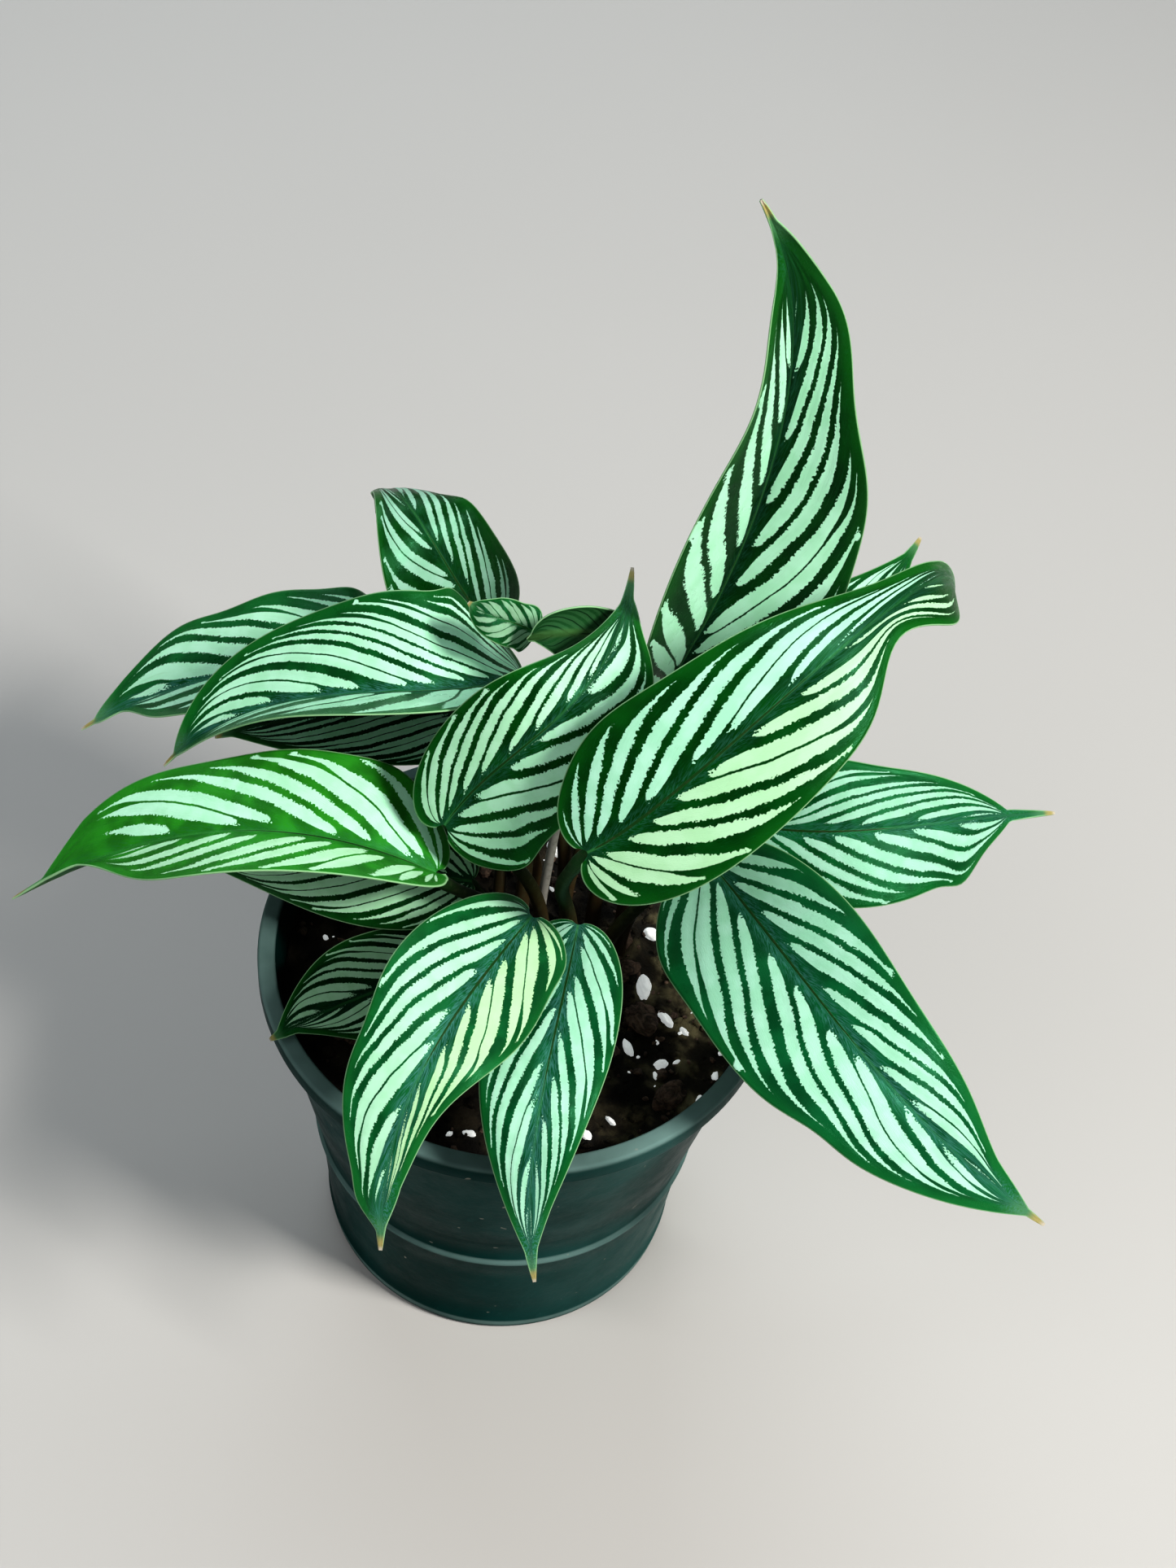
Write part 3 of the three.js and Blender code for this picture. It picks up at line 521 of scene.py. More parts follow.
def make_leaf(name, leaf, look):
    """One leaf: both faces of the blade and its edge, and the petiole that runs on under it as a rib."""
    upper, lower, values = blade_grids(leaf, look)
    rows, columns = upper.shape[:2]
    path, radius, way = petiole_path(leaf, look)
    sides = PETIOLE["sides"]
    points = np.vstack([part.reshape(-1, 3) for part in (upper, lower, tube(path, radius, sides))])
    faces = leaf_faces(rows, columns, len(path))
    start, last = 2 * rows * columns, len(points) - sides
    ends = [list(range(start, start + sides))[::-1], list(range(last, last + sides))]
    # The young leaf's petiole is near white, partly painted light.
    petiole = shared["pale_lit_petiole" if name == "young_leaf" else "petiole"]
    all_faces = np.vstack(faces).tolist() + ends
    piece = new_piece(name + "_grown", points, all_faces, blade_material(name, look), petiole)
    mesh = piece.data

    blank, nothing = np.zeros(rows * columns), np.zeros(len(path) * sides)
    layers = {key: (grid.ravel(), grid.ravel(), nothing) for key, grid in values.items()}
    layers["under"] = (blank, blank + 1, nothing)
    layers["way"] = (blank, blank, np.repeat(way, sides))
    for key, parts in layers.items():
        layer = mesh.attributes.new("leaf_" + key, "FLOAT", "POINT")
        layer.data.foreach_set("value", np.concatenate(parts).astype(np.float32))
    texture = leaf_texture_places(rows, columns, faces, len(path))
    layer = mesh.uv_layers.new(name="OFBake")
    layer.data.foreach_set("uv", texture.astype(np.float32).ravel())
    slots = np.zeros(len(mesh.polygons), np.int32)
    slots[sum(len(part) for part in faces[:3]):] = 1
    mesh.polygons.foreach_set("material_index", slots)
    return piece


class Shader:
    """A material's node tree, with short calls that add nodes. Arguments are sockets or plain values."""

    def __init__(self, name):
        self.material = bpy.data.materials.new(name)
        self.material.use_nodes = True
        self.tree = self.material.node_tree
        self.surface = self.tree.nodes["Principled BSDF"]

    def put(self, socket, value):
        if isinstance(value, bpy.types.NodeSocket):
            self.tree.links.new(value, socket)
        elif isinstance(value, tuple) and len(socket.default_value) == 4:
            socket.default_value = (*value, 1)
        elif value is not None:
            socket.default_value = value

    def math(self, operation, a, b=None, c=None, clamp=False):
        node = self.tree.nodes.new("ShaderNodeMath")
        node.operation = operation
        node.use_clamp = clamp
        for socket, value in zip(node.inputs, (a, b, c)):
            self.put(socket, value)
        return node.outputs[0]

    def add(self, a, b):
        return self.math("ADD", a, b)

    def take(self, a, b):
        return self.math("SUBTRACT", a, b)

    def times(self, a, b):
        return self.math("MULTIPLY", a, b)

    def ramp(self, value, low, high, to_low=0.0, to_high=1.0, smooth=True):
        """value as to_low at low and to_high at high, held beyond them."""
        node = self.tree.nodes.new("ShaderNodeMapRange")
        node.interpolation_type = "SMOOTHSTEP" if smooth else "LINEAR"
        node.clamp = True
        for key, given in zip((0, 1, 2, 3, 4), (value, low, high, to_low, to_high)):
            self.put(node.inputs[key], given)
        return node.outputs[0]

    def between(self, share, low, high):
        """low where share is 0 and high where it is 1."""
        return self.ramp(share, 0.0, 1.0, low, high, smooth=False)

    def attribute(self, name):
        node = self.tree.nodes.new("ShaderNodeAttribute")
        node.attribute_name = name
        return node.outputs["Fac"]

    def vector(self, x=0.0, y=0.0, z=0.0):
        node = self.tree.nodes.new("ShaderNodeCombineXYZ")
        for socket, value in zip(node.inputs, (x, y, z)):
            self.put(socket, value)
        return node.outputs[0]

    def object_place(self):
        return self.tree.nodes.new("ShaderNodeTexCoord").outputs["Object"]

    def parts(self, place):
        """The X, Y and Z of a place."""
        node = self.tree.nodes.new("ShaderNodeSeparateXYZ")
        self.put(node.inputs[0], place)
        return node.outputs

    def noise(self, place, scale, detail=2.0, roughness=0.5, distortion=0.0):
        node = self.tree.nodes.new("ShaderNodeTexNoise")
        self.put(node.inputs["Vector"], place)
        node.inputs["Scale"].default_value = scale
        node.inputs["Detail"].default_value = detail
        node.inputs["Roughness"].default_value = roughness
        node.inputs["Distortion"].default_value = distortion
        return node.outputs["Fac"]

    def draws(self, x, y):
        """Three random numbers that change with x and y."""
        node = self.tree.nodes.new("ShaderNodeTexWhiteNoise")
        node.noise_dimensions = "2D"
        self.put(node.inputs["Vector"], self.vector(x, y))
        split = self.tree.nodes.new("ShaderNodeSeparateColor")
        self.tree.links.new(node.outputs["Color"], split.inputs[0])
        return split.outputs

    def mix(self, share, a, b):
        node = self.tree.nodes.new("ShaderNodeMix")
        node.data_type = "RGBA"
        self.put(node.inputs["Factor"], share)
        self.put(node.inputs[6], a)
        self.put(node.inputs[7], b)
        return node.outputs[2]

    def bump(self, height, strength, distance):
        node = self.tree.nodes.new("ShaderNodeBump")
        node.inputs["Strength"].default_value = strength
        node.inputs["Distance"].default_value = distance
        self.put(node.inputs["Height"], height)
        self.tree.links.new(node.outputs["Normal"], self.surface.inputs["Normal"])

    def set(self, **values):
        for key, value in values.items():
            self.put(self.surface.inputs[key.replace("_", " ")], value)


def along_veins(n, at, across, out, detail, roughness=0.5):
    """Noise drawn out along the side veins: how fine it is across them and out from the midrib."""
    place = n.vector(n.times(at.x, across), n.times(at.out, out), at.seed)
    return n.noise(place, 1.0, detail, roughness)


def scaled(colour, share):
    """A colour with each of its parts multiplied."""
    return tuple(share * c for c in colour)


def stripe_pattern(n, look, at):
    """How pale each place is, and how far it lies from the line between the two bars of a pair.

    f runs across a pair from that line. Each bar has a gap to it, a width, and a place where it begins and
    ends, all by draws; the two bars of a close pair have less gap between them and smooth inner edges.
    """
    size = look["size"]
    cell = n.math("FLOOR", at.x)
    row = n.add(n.times(at.right, 40.0), at.seed)
    vein_draw, clear_draw, gap_draw = n.draws(cell, row)
    f = n.take(n.math("FRACT", at.x), n.between(vein_draw, 0.46, 0.54))
    second = n.math("GREATER_THAN", f, 0.0)
    f = n.math("ABSOLUTE", f)
    bar_draw, begin_draw, end_draw = n.draws(n.add(n.times(cell, 2.0), second), n.add(row, 17.5))

    jag = n.take(n.noise(at.flat, 2.1, 1.0, 0.5), 0.5)
    close = n.math("GREATER_THAN", clear_draw, 0.42)
    gap = n.times(n.between(close, 0.075, 0.025), n.between(gap_draw, 0.8, 1.25))
    bar = n.times(n.between(bar_draw, 0.163, 0.187), n.between(close, 0.9, 1.0))
    bar = n.times(bar, look["bar"])
    begin = n.times(n.between(begin_draw, 0.9, 2.0), n.ramp(at.s, 0.35, 0.85, size, 0.35 * size))
    inside = n.add(n.take(at.out, begin), n.times(jag, 2.2))
    grown = n.math("SQRT", n.ramp(inside, 0.0, 1.4 * size, smooth=False))
    end = n.times(n.between(end_draw, 0.96, 1.08), n.between(at.right, *look["reach"]))
    taper = n.math("POWER", n.ramp(n.take(end, at.share), 0.0, 0.3, smooth=False), 0.65)
    last = n.add(at.s, n.times(bar_draw, 0.08))
    plain = n.ramp(last, look["plain"] - 0.06, look["plain"] + 0.06, 1.0, 0.0)
    body = n.times(n.times(grown, taper), plain)

    middle = n.add(gap, bar)
    off = n.math("ABSOLUTE", n.take(f, middle))
    outer = n.math("GREATER_THAN", f, middle)
    ragged = n.math("MAXIMUM", outer, n.take(1.0, close))
    edge = n.add(off, n.times(jag, n.between(ragged, 0.04, 0.15)))
    return n.times(n.ramp(n.take(n.times(bar, body), edge), -0.008, 0.012), n.ramp(body, 0.02, 0.15)), f


def stripe_colour(n, look, at):
    """Pale mint, tinted yellow by each half's warm, with fine darker vessels."""
    mint, light_mint, warm = (scaled(COLOUR[key], look["pale"]) for key in ("mint", "light_mint", "warm"))
    colour = n.mix(n.ramp(n.noise(at.flat, 0.2, 2.0), 0.35, 0.65), mint, light_mint)
    colour = n.mix(n.between(at.right, *look["warm"]), colour, warm)
    vessels = n.ramp(along_veins(n, at, 46.0, 0.5, 2.0), 0.55, 0.75, 0.0, 0.22)
    return n.mix(vessels, colour, COLOUR["vessel"])


def ground_colour(n, look, at):
    """Dark green, fresher by the margin and tip, with a grain along the veins and a painted bluish highlight
    by the midrib.
    """
    depth = n.ramp(n.noise(at.flat, 0.16, 2.0), 0.35, 0.7)
    colour = n.mix(depth, scaled(look["dark"], 0.8), scaled(look["dark"], 1.5))
    margin = n.ramp(n.add(at.share, n.times(at.sway, 0.3)), 0.8, 1.25, 0.0, 0.8)
    fresh = n.math("MAXIMUM", margin, n.ramp(at.s, look["plain"] - 0.1, 0.99, 0.0, 0.8))
    red, green, blue = look["dark"]
    colour = n.mix(fresh, colour, (red + 0.006, 0.8 * green + 0.085, blue + 0.006))
    grain = along_veins(n, at, 30.0, 1.6, 3.0, 0.6)
    colour = n.mix(n.ramp(grain, 0.5, 0.72, 0.0, 0.25), colour, COLOUR["grain"])
    # A painted bluish highlight by the midrib, broken up along the veins.
    sheen = n.times(n.ramp(at.out, 0.2, 3.2, look["sheen"], 0.0), n.ramp(grain, 0.42, 0.6))
    colour = n.mix(sheen, colour, COLOUR["sheen"])
    midrib_line = n.times(n.ramp(at.out, 0.1, 0.4, 0.45, 0.0), n.ramp(at.s, 0.0, 0.95, 1.0, 0.15))
    return n.mix(midrib_line, colour, COLOUR["midrib"])


def back_colour(n, at, pale, from_vein):
    """The underside: the stripes shine through faintly, with dark side veins and a pale midrib and rim."""
    colour = n.mix(n.times(pale, 0.4), COLOUR["back"], COLOUR["back_stripe"])
    colour = n.mix(n.ramp(from_vein, 0.02, 0.07, 0.95, 0.0), colour, COLOUR["back_vein"])
    colour = n.mix(n.ramp(at.out, 0.3, 1.2, 0.5, 0.0), colour, COLOUR["back_midrib"])
    return n.mix(n.ramp(at.rim, 0.06, 0.26, 0.8, 0.0), colour, COLOUR["rim"])


def blade_material(name, look):
    """The blade: pale bars in pairs along the side veins, on dark green. x counts the pairs, with a sway."""
    n = Shader(name + "_blade")
    keys = ("s", "u", "pair", "share", "rim", "out", "under")
    at = SimpleNamespace(seed=float(look["seed"]), **{key: n.attribute("leaf_" + key) for key in keys})
    at.right = n.math("GREATER_THAN", at.u, 0.0)
    half = n.add(n.times(at.right, 9.0), at.seed)
    at.flat = n.vector(n.times(at.s, 100.0), n.times(at.u, float(USUAL_WIDTH)), half)
    at.sway = n.take(n.noise(at.flat, 0.12, 1.0), 0.5)
    at.x = n.add(at.pair, n.times(at.sway, 0.14))
    pale, from_vein = stripe_pattern(n, look, at)
    colour = n.mix(pale, ground_colour(n, look, at), stripe_colour(n, look, at))
    colour = n.mix(n.ramp(at.rim, 0.06, 0.26, 0.7, 0.0), colour, COLOUR["rim"])
    for begin, full, most, tip in TIP_COLOURS:
        colour = n.mix(n.ramp(at.s, begin, full, 0.0, most), colour, tip)
    under = n.math("GREATER_THAN", at.under, 0.5)
    colour = n.mix(under, colour, back_colour(n, at, pale, from_vein))

    hatch = along_veins(n, at, 40.0, 2.6, 3.0, 0.65)
    n.bump(n.add(n.times(hatch, 0.6), n.times(n.noise(at.flat, 0.5, 3.0), 0.4)), 0.5, 0.00022)
    roughness = n.add(n.ramp(n.noise(at.flat, 0.35, 3.0), 0.3, 0.7, 0.26, 0.4), n.times(under, 0.2))
    n.set(Base_Color=colour, Roughness=roughness, Specular_IOR_Level=0.24, Specular_Tint=(0.25, 1.0, 0.55))
    return n.material


def petiole_material(name, foot, stalk):
    """The petiole: foot's colour at the soil, stalk's above it, green where it runs on under the blade."""
    n = Shader(name)
    way = n.attribute("leaf_way")
    place = n.object_place()
    streak = n.noise(place, 900.0, 3.0)
    colour = n.mix(n.ramp(way, 0.0, 0.6), foot, stalk)
    colour = n.mix(n.ramp(way, 0.85, 1.0), colour, (0.008, 0.05, 0.008))
    colour = n.mix(n.times(n.ramp(streak, 0.45, 0.75), 0.4), colour, (0.05, 0.06, 0.03))
    n.bump(n.noise(place, 1500.0, 2.0), 0.3, 0.0002)
    n.set(Base_Color=colour, Roughness=0.5, Specular_IOR_Level=0.15)
    return n.material


def pot_material():
    """Dark green plastic with scuffs and dust specks, a painted highlight towards +X, and lighter rim, bead
    and foot: rubbed wear and painted highlight at the rim, painted highlight lines at bead and foot.
    """
    n = Shader("pot_plastic")
    place = n.object_place()
    cloud = n.noise(place, 28.0, 4.0, 0.6)
    scuff = n.noise(place, 140.0, 5.0, 0.7)
    colour = n.mix(n.ramp(cloud, 0.35, 0.7), (0.0015, 0.024, 0.021), (0.004, 0.042, 0.038))
    colour = n.mix(n.times(n.ramp(scuff, 0.6, 0.75), 0.3), colour, (0.03, 0.10, 0.095))
    x, _, z = n.parts(place)
    # Painted highlight: the side towards +X, where the key lamp shines, is lighter in cloudy patches.
    right_side_highlight = n.times(n.ramp(x, -5 * MM, 40 * MM), n.ramp(cloud, 0.3, 0.7, 0.4, 1.0))
    colour = n.mix(n.times(right_side_highlight, 0.55), colour, (0.05, 0.13, 0.12))
    # The rim is lighter, partly rubbed wear and partly painted highlight; the lines along the bead and the
    # foot are painted highlights.
    wear_and_highlight = n.ramp(z, (POT["height"] - 1.6) * MM, POT["height"] * MM)
    for edge, reach in ((POT["bead"] + 0.5, 1.0), (2.6, 1.6)):
        near = n.math("ABSOLUTE", n.take(z, edge * MM))
        wear_and_highlight = n.math("MAXIMUM", wear_and_highlight, n.ramp(near, 0.3 * reach * MM, reach * MM, 0.7, 0.0))
    wear_and_highlight = n.times(wear_and_highlight, n.ramp(cloud, 0.3, 0.6, 0.5, 1.0))
    colour = n.mix(n.times(wear_and_highlight, 0.7), colour, (0.22, 0.34, 0.32))
    speck = n.ramp(n.noise(place, 420.0, 1.0), 0.76, 0.8)
    colour = n.mix(n.times(speck, 0.5), colour, (0.35, 0.33, 0.28))
    n.bump(n.noise(place, 260.0, 4.0, 0.6), 0.25, 0.0004)
    roughness = n.ramp(scuff, 0.3, 0.75, 0.3, 0.46)
    n.set(Base_Color=colour, Roughness=roughness, Specular_IOR_Level=0.02, Specular_Tint=(0.4, 1.0, 1.0))
    return n.material


def soil_material():
    """Dark damp soil with a few pale specks, lighter in patches towards +X as painted light."""
    n = Shader("soil")
    place = n.object_place()
    fine = n.noise(place, 900.0, 4.0, 0.7)
    lumps = n.noise(place, 180.0, 3.0)
    colour = n.mix(n.ramp(lumps, 0.35, 0.7), (0.005, 0.004, 0.003), (0.032, 0.025, 0.015))
    colour = n.mix(n.times(n.ramp(fine, 0.6, 0.8), 0.4), colour, (0.11, 0.08, 0.05))
    x, _, _ = n.parts(place)
    # Painted light: towards +X, where light falls between the leaves, the soil is lighter in patches.
    painted_light = n.times(n.ramp(x, 10 * MM, 38 * MM), n.ramp(lumps, 0.48, 0.66, 0.08, 1.0))
    colour = n.mix(n.times(painted_light, 0.8), colour, (0.17, 0.15, 0.08))
    n.bump(fine, 0.8, 0.0012)
    n.set(Base_Color=colour, Roughness=0.92, Specular_IOR_Level=0.25)
    return n.material


def bark_material():
    """Brown bark with a swirled grain."""
    n = Shader("bark")
    place = n.object_place()
    grain = n.noise(place, 500.0, 4.0, 0.6, 1.5)
    colour = n.mix(n.ramp(grain, 0.35, 0.7), (0.035, 0.020, 0.013), (0.17, 0.11, 0.075))
    n.bump(grain, 0.7, 0.001)
    n.set(Base_Color=colour, Roughness=0.85)
    return n.material


def perlite_material():
    """White porous grains. The faint emission stands for light that this scene does not give."""
    n = Shader("perlite")
    place = n.object_place()
    pores = n.noise(place, 1100.0, 4.0, 0.7)
    colour = n.mix(n.ramp(pores, 0.3, 0.5), (0.82, 0.81, 0.78), (0.97, 0.97, 0.95))
    n.bump(pores, 0.4, 0.0005)
    n.set(Base_Color=colour, Roughness=0.8, Emission_Color=(0.9, 0.95, 0.95), Emission_Strength=0.3)
    return n.material


def floor_material():
    """A plain pale floor, a little cloudy."""
    n = Shader("floor")
    colour = n.mix(n.noise(n.object_place(), 3.0, 2.0), (0.50, 0.49, 0.475), (0.54, 0.53, 0.515))
    n.set(Base_Color=colour, Roughness=0.7)
    return n.material


def new_piece(name, points, faces, *materials):
    mesh = bpy.data.meshes.new(name)
    mesh.from_pydata((np.asarray(points) * MM).tolist(), [], faces)
    mesh.polygons.foreach_set("use_smooth", [True] * len(mesh.polygons))
    for material in materials:
        mesh.materials.append(material)
    mesh.update()
    piece = bpy.data.objects.new(name, mesh)
    bpy.context.scene.collection.objects.link(piece)
    return piece


def settle(piece, slot_name, *nodes):
    """The piece rides with the part and stands for CAD nodes, which it hides. slot_name is not used."""
    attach(piece, "root")
    if nodes:
        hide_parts(*nodes)


def arc(centre, radius, first, last, steps):
    """Points of an arc of a profile, angles in degrees from outwards to upwards."""
    angles = np.radians(np.linspace(first, last, steps))
    return [(centre[0] + radius * math.cos(t), centre[1] + radius * math.sin(t)) for t in angles]


def line(start, end, shares):
    """Points on the straight line from start to end, at shares of it."""
    return [tuple(a + (b - a) * share for a, b in zip(start, end)) for share in shares]


def pot_profile():
    """The pot's section as (radius, height) points, from the middle of the underside round to the floor's."""
    height, rim, foot, shoulder, wall = (POT[k] for k in ("height", "rim", "foot", "shoulder", "wall"))
    waist, bead, step, floor, edge = (POT[k] for k in ("waist", "bead", "step", "floor", "edge"))
    lower = height - POT["rim_depth"]
    corner = POT["foot_round"]
    foot_top = (foot, POT["foot_top"] + POT["foot_edge"])
    ledge = (waist + POT["ledge"], step + 0.5)
    outside = [(0, POT["recess"]), (foot - 7, POT["recess"]), (foot - 6, 0)]
    outside += arc((foot - corner, corner), corner, -90, 0, 7)
    outside += [(foot + 0.3, POT["foot_top"]), foot_top]
    outside += line(foot_top, (waist, foot_top[1] + bead - 6), (0.25, 0.5, 0.75, 1))
    outside += arc((waist + 0.1, bead), POT["bead_round"], -60, 60, 7)
    outside += [(waist + 0.35, bead + 1.2), (waist + 1.2, step - 0.4), ledge]
    outside += line(ledge, (shoulder, lower), (0.2, 0.4, 0.6, 0.8, 0.97))
    outside += [(shoulder + 0.3, lower), *arc((rim - edge, lower + edge), edge, -90, 0, 5)]
    outside += arc((rim - edge, height - edge), edge, 0, 90, 6)
    outside += arc((rim - POT["lip"] + edge, height - edge), edge, 90, 180, 6)
    inside = [(shoulder - wall, lower), (waist + POT["ledge"] - wall, step), (waist - wall, bead)]
    inside += arc((foot - wall - 1.5, floor + 1.5), 1.5, 0, -90, 5)
    return outside + inside + [(0, floor)]


def turned_faces(rings, sides, downwards=False):
    """The faces of a turned body: a first point, rings of sides points, and a last point."""
    pairs = [(k, (k + 1) % sides) for k in range(sides)]
    last, centre = 1 + (rings - 1) * sides, 1 + rings * sides
    faces = [(0, 1 + b, 1 + a) for a, b in pairs]
    for low in range(1, last, sides):
        faces += [(low + a, low + b, low + sides + b, low + sides + a) for a, b in pairs]
    faces += [(last + a, last + b, centre) for a, b in pairs]
    return [face[::-1] for face in faces] if downwards else faces


def drill_holes(pot):
    """Cuts the drainage holes in the pot's floor."""
    for i in range(DRAIN["count"]):
        turn = (i + 0.5) / DRAIN["count"] * 2 * math.pi
        ring = DRAIN["ring"] * MM
        bpy.ops.mesh.primitive_cylinder_add(
            vertices=DRAIN["sides"], radius=DRAIN["radius"] * MM, depth=DRAIN["cut"] * MM,
            location=(ring * math.cos(turn), ring * math.sin(turn), 1 * MM))
        drill = bpy.context.object
        cut = pot.modifiers.new("drain", "BOOLEAN")
        cut.operation = "DIFFERENCE"
        cut.object = drill
        cut.solver = "EXACT"
        with bpy.context.temp_override(object=pot, active_object=pot, selected_objects=[pot]):
            bpy.ops.object.modifier_apply(modifier=cut.name)
        bpy.data.objects.remove(drill)


def make_pot():
    """The pot, turned, and a little out of round towards the rim."""
    sides = POT["sides"]
    profile = pot_profile()
    angles = np.linspace(0, 2 * math.pi, sides, endpoint=False)
    wobble = 0.0015 * np.sin(2 * angles + 0.6) + 0.0008 * np.sin(5 * angles)
    points = [(0, 0, profile[0][1])]
    for radius, height in profile[1:-1]:
        r = radius * (1 + wobble * min(height / POT["height"], 1))
        points += list(zip(r * np.cos(angles), r * np.sin(angles), np.full(sides, height)))
    points.append((0, 0, profile[-1][1]))
    pot = new_piece("nursery_pot", points, turned_faces(len(profile) - 2, sides), shared["pot"])
    drill_holes(pot)
    settle(pot, "pot_plastic", "pot")


def value_noise(x, y, seed):
    """Smooth noise over a plane: random numbers at whole places, eased between them."""
    def corner(i, j):
        """A number that looks random, from the digits of a large sine."""
        h = np.sin(i * 127.1 + j * 311.7 + seed * 74.7) * 43758.5453
        return h - np.floor(h)

    i, j = np.floor(x), np.floor(y)
    f, g = x - i, y - j
    f, g = f * f * (3 - 2 * f), g * g * (3 - 2 * g)
    low = corner(i, j) * (1 - f) + corner(i + 1, j) * f
    high = corner(i, j + 1) * (1 - f) + corner(i + 1, j + 1) * f
    return low * (1 - g) + high * g - 0.5


def mean_height(x, y):
    """The height of the soil's loose surface, as in the CAD."""
    bumps = np.sin(x / 5 + 1) * np.cos(y / 6) + 0.6 * np.sin(x / 11 - y / 9)
    return SOIL["top"] + SOIL["bump"] * bumps


def soil_height(x, y):
    """The height of the soil with its fine roughness."""
    rough = 1.6 * value_noise(x / 2.6, y / 2.6, 1) + 0.9 * value_noise(x / 1.1, y / 1.1, 2)
    return mean_height(x, y) + rough


def make_soil():
    """The soil: a rough surface of rings, closed by the rings below it."""
    rings, sides = SOIL["rings"], SOIL["sides"]
    angles = np.linspace(0, 2 * math.pi, sides, endpoint=False)
    points = [(0, 0, soil_height(0.0, 0.0))]
    for radius in SOIL["radius"] * np.linspace(0, 1, rings + 1)[1:]:
        x, y = radius * np.cos(angles), radius * np.sin(angles)
        points += list(zip(x, y, soil_height(x, y)))
    for radius, height in SOIL_BELOW:
        points += list(zip(radius * np.cos(angles), radius * np.sin(angles), np.full(sides, float(height))))
    points.append((0, 0, SOIL_BELOW[-1][1]))
    faces = turned_faces(rings + len(SOIL_BELOW), sides, downwards=True)
    settle(new_piece("potting_soil", points, faces, shared["soil"]), "soil", "soil")


def seeded(seed):
    """The same draws as the CAD's for the same seed."""
    state = seed
    while True:
        state = state * 16807 % 2147483647
        yield state / 2147483647


def scatter(count, least, most, seed, taken):
    """Places and radii of lumps, by the CAD's rule: clear of the crown and of each other."""
    draw = seeded(seed)
    lumps = []
    feet = [leaf["foot"] for leaf in LEAVES.values()]
    while len(lumps) < count:
        radius = least + (most - least) * next(draw) ** 2
        reach = LUMP_SPREAD * math.sqrt(next(draw))
        turn = 2 * math.pi * next(draw)
        x, y = reach * math.cos(turn), reach * math.sin(turn)
        if any(math.hypot(x - fx, y - fy) <= CROWN_CLEARANCE + radius for fx, fy in feet):
            continue
        if any(math.hypot(x - ox, y - oy) <= radius + other for ox, oy, other in taken):
            continue
        taken.append((x, y, radius))
        lumps.append((x, y, radius, [next(draw), next(draw), next(draw)]))
    return lumps


def ball(level):
    """The points and faces of a round ball of radius one."""
    bpy.ops.mesh.primitive_ico_sphere_add(subdivisions=level, radius=1)
    made = bpy.context.object
    points = np.array([v.co for v in made.data.vertices])
    faces = np.array([p.vertices for p in made.data.polygons])
    bpy.data.objects.remove(made)
    return points, faces


def rough_ball(points, seed, amount, pitch):
    """Ball points pushed in and out by smooth noise."""
    x, y, z = points.T * pitch
    push = value_noise(x + 3.1 * z, y - 2.3 * z, seed) + 0.5 * value_noise(2 * y + z, 2 * x - z, seed + 5)
    return points * (1 + amount * push)[:, None]


def turn_matrix(spin, tilt):
    """A turn about the upright by a share of a full one, after a small tilt."""
    return np.array(Matrix.Rotation(6.283 * spin, 3, "Z") @ Matrix.Rotation(0.6 * tilt, 3, "X"))


def lump_points(points, number, lump, kind, ground):
    """One lump's points from a ball's: roughened, squashed, turned and set on the ground."""
    x, y, radius, (flatness, spin, tilt) = lump
    shape = LUMP_SHAPES[kind]
    least, more = shape["wide"]
    sizes = (radius * shape["long"], radius * (least + more * flatness), radius * shape["high"])
    rough = rough_ball(points, number + shape["first"], shape["rough"], shape["pitch"]) * sizes
    return rough @ turn_matrix(spin, tilt).T + (x, y, ground(x, y) + shape["raised"] * radius)


def join_lumps(name, lumps, kind, ground, level, material):
    """Many small lumps as one piece."""
    points, faces = ball(level)
    all_points = [lump_points(points, number, lump, kind, ground) for number, lump in enumerate(lumps)]
    all_faces = [faces + len(points) * number for number in range(len(lumps))]
    settle(new_piece(name, np.vstack(all_points), np.vstack(all_faces).tolist(), material), "soil")


def clear_of(lump, others):
    """Whether a lump hardly overlaps any of the others."""
    return all(math.hypot(lump[0] - x, lump[1] - y) > 0.8 * (lump[2] + radius) for x, y, radius, _ in others)


def make_grains():
    """The bark and perlite: those of the CAD's rule that leave room, and those that the photo shows."""
    taken = []
    seen = SEEN_PERLITE + SEEN_BARK
    bark, perlite = (
        [lump for lump in scatter(**kind, taken=taken) if clear_of(lump, seen)] for kind in (BARK, PERLITE))
    bark += [(x, y, radius, [0.6, turn, 0.4]) for x, y, radius, turn in SEEN_BARK]
    perlite += [(x, y, radius, [-0.5, turn, 0.4]) for x, y, radius, turn in SEEN_PERLITE]
    join_lumps("bark_lumps", bark, "bark", mean_height, 4, shared["bark"])
    join_lumps("perlite_grains", perlite, "perlite", mean_height, 4, shared["perlite"])


def make_crumbs():
    """Small crumbs of soil, bark and perlite all over the rough surface."""
    random = np.random.default_rng(CRUMBS["seed"])
    crumbs = []
    for _ in range(CRUMBS["dark"] + CRUMBS["brown"] + CRUMBS["white"]):
        reach, turn = CRUMBS["spread"] * math.sqrt(random.random()), 2 * math.pi * random.random()
        radius = CRUMBS["least"] + CRUMBS["more"] * random.random() ** 3
        crumbs.append((reach * math.cos(turn), reach * math.sin(turn), radius, list(random.random(3))))
    dark, rest = crumbs[:CRUMBS["dark"]], crumbs[CRUMBS["dark"]:]
    white = [(x, y, 0.7 * radius, turns) for x, y, radius, turns in rest[CRUMBS["brown"]:]]
    join_lumps("soil_crumbs", dark, "crumb", soil_height, 2, shared["soil"])
    join_lumps("bark_crumbs", rest[:CRUMBS["brown"]], "crumb", soil_height, 2, shared["bark"])
    join_lumps("perlite_dust", white, "crumb", soil_height, 2, shared["perlite"])


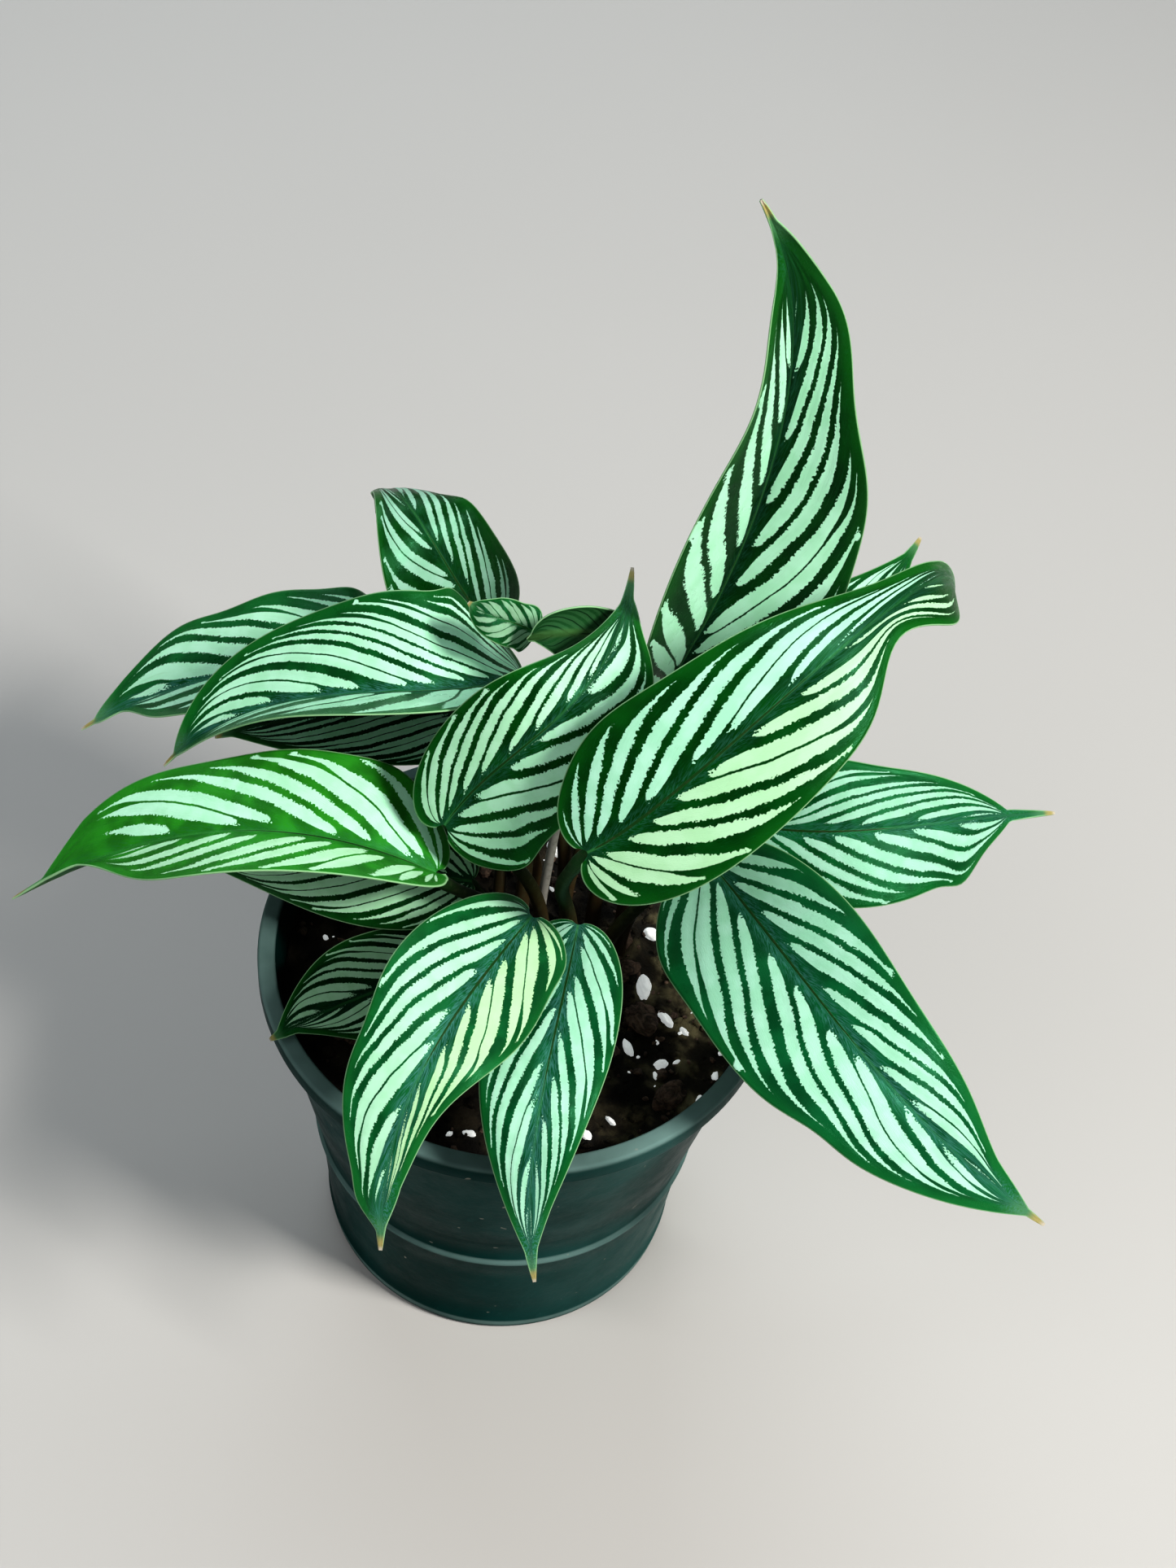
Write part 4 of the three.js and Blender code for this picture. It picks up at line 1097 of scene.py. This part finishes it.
def add_camera():
    """The photograph's camera, tilted down by pitch and rolled about its own line of sight."""
    pitch, roll = math.radians(CAMERA["pitch"]), math.radians(CAMERA["roll"])
    back = Vector((0, -math.cos(pitch), math.sin(pitch)))
    level = Vector((1, 0, 0))
    up = back.cross(level)
    right = math.cos(roll) * level + math.sin(roll) * up
    over = -math.sin(roll) * level + math.cos(roll) * up
    camera = bpy.data.objects.new("camera", bpy.data.cameras.new("camera"))
    turned = Matrix((right, over, back)).transposed().to_4x4()
    camera.matrix_world = Matrix.Translation(Vector(CAMERA["place"]) * MM) @ turned
    camera.data.sensor_width = 36
    camera.data.lens = 18 / math.tan(math.radians(CAMERA["field"] / 2))
    bpy.context.scene.collection.objects.link(camera)
    bpy.context.scene.camera = camera


def add_light(name, towards, distance, size, power, colour, gloss=True):
    """A square soft light that looks at the plant. gloss is whether it shows in highlights."""
    data = bpy.data.lights.new(name, "AREA")
    data.size = size
    data.energy = power
    data.color = colour
    light = bpy.data.objects.new(name, data)
    place = Vector(towards).normalized() * distance + Vector((0, 0, 0.1))
    turned = Vector(towards).to_track_quat("Z", "Y").to_matrix().to_4x4()
    light.matrix_world = Matrix.Translation(place) @ turned
    light.visible_glossy = gloss
    bpy.context.scene.collection.objects.link(light)


def add_surroundings():
    """The floor, the lights, the sky's faint light and the view setting."""
    bpy.ops.mesh.primitive_plane_add(size=6, location=(0, 0, 0))
    floor = bpy.context.object
    floor.name = "floor"
    floor.data.materials.append(floor_material())
    add_light("key", towards=(74, -36, 92), distance=1.2, size=0.25, power=15, colour=(1, 0.97, 0.92))
    add_light("window", towards=(-0.25, 0.8, 0.85), distance=1.4, size=0.9, power=7, colour=(0.86, 0.95, 1))
    add_light(
        "front", towards=(-0.6, -0.6, 0.8), distance=1.6, size=1.2, power=6, colour=(1, 1, 1), gloss=False)
    world = bpy.data.worlds.new("studio")
    world.use_nodes = True
    background = world.node_tree.nodes["Background"]
    background.inputs["Color"].default_value = (0.9, 0.95, 1, 1)
    background.inputs["Strength"].default_value = 0.12
    bpy.context.scene.world = world
    bpy.context.scene.view_settings.view_transform = "Standard"
    bpy.context.scene.view_settings.look = "Medium High Contrast"


shared = {
    # The petiole's stalk is darkened below its own green as painted shade of the crown.
    "petiole": petiole_material("petiole", (0.05, 0.032, 0.014), (0.008, 0.022, 0.005)),
    # The young leaf's petiole is near white, partly its own pale colour and partly painted light where light
    # falls on it.
    "pale_lit_petiole": petiole_material("pale_lit_petiole", (0.28, 0.27, 0.24), (0.60, 0.60, 0.54)),
    "pot": pot_material(),
    "soil": soil_material(),
    "bark": bark_material(),
    "perlite": perlite_material(),
}
add_camera()
add_surroundings()
make_pot()
make_soil()
make_grains()
make_crumbs()
for leaf_name, leaf in LEAVES.items():
    grown = make_leaf(leaf_name, {**USUAL_LEAF, **leaf}, {**USUAL_LOOK, **LOOKS[leaf_name]})
    settle(grown, "leaf", leaf_name)
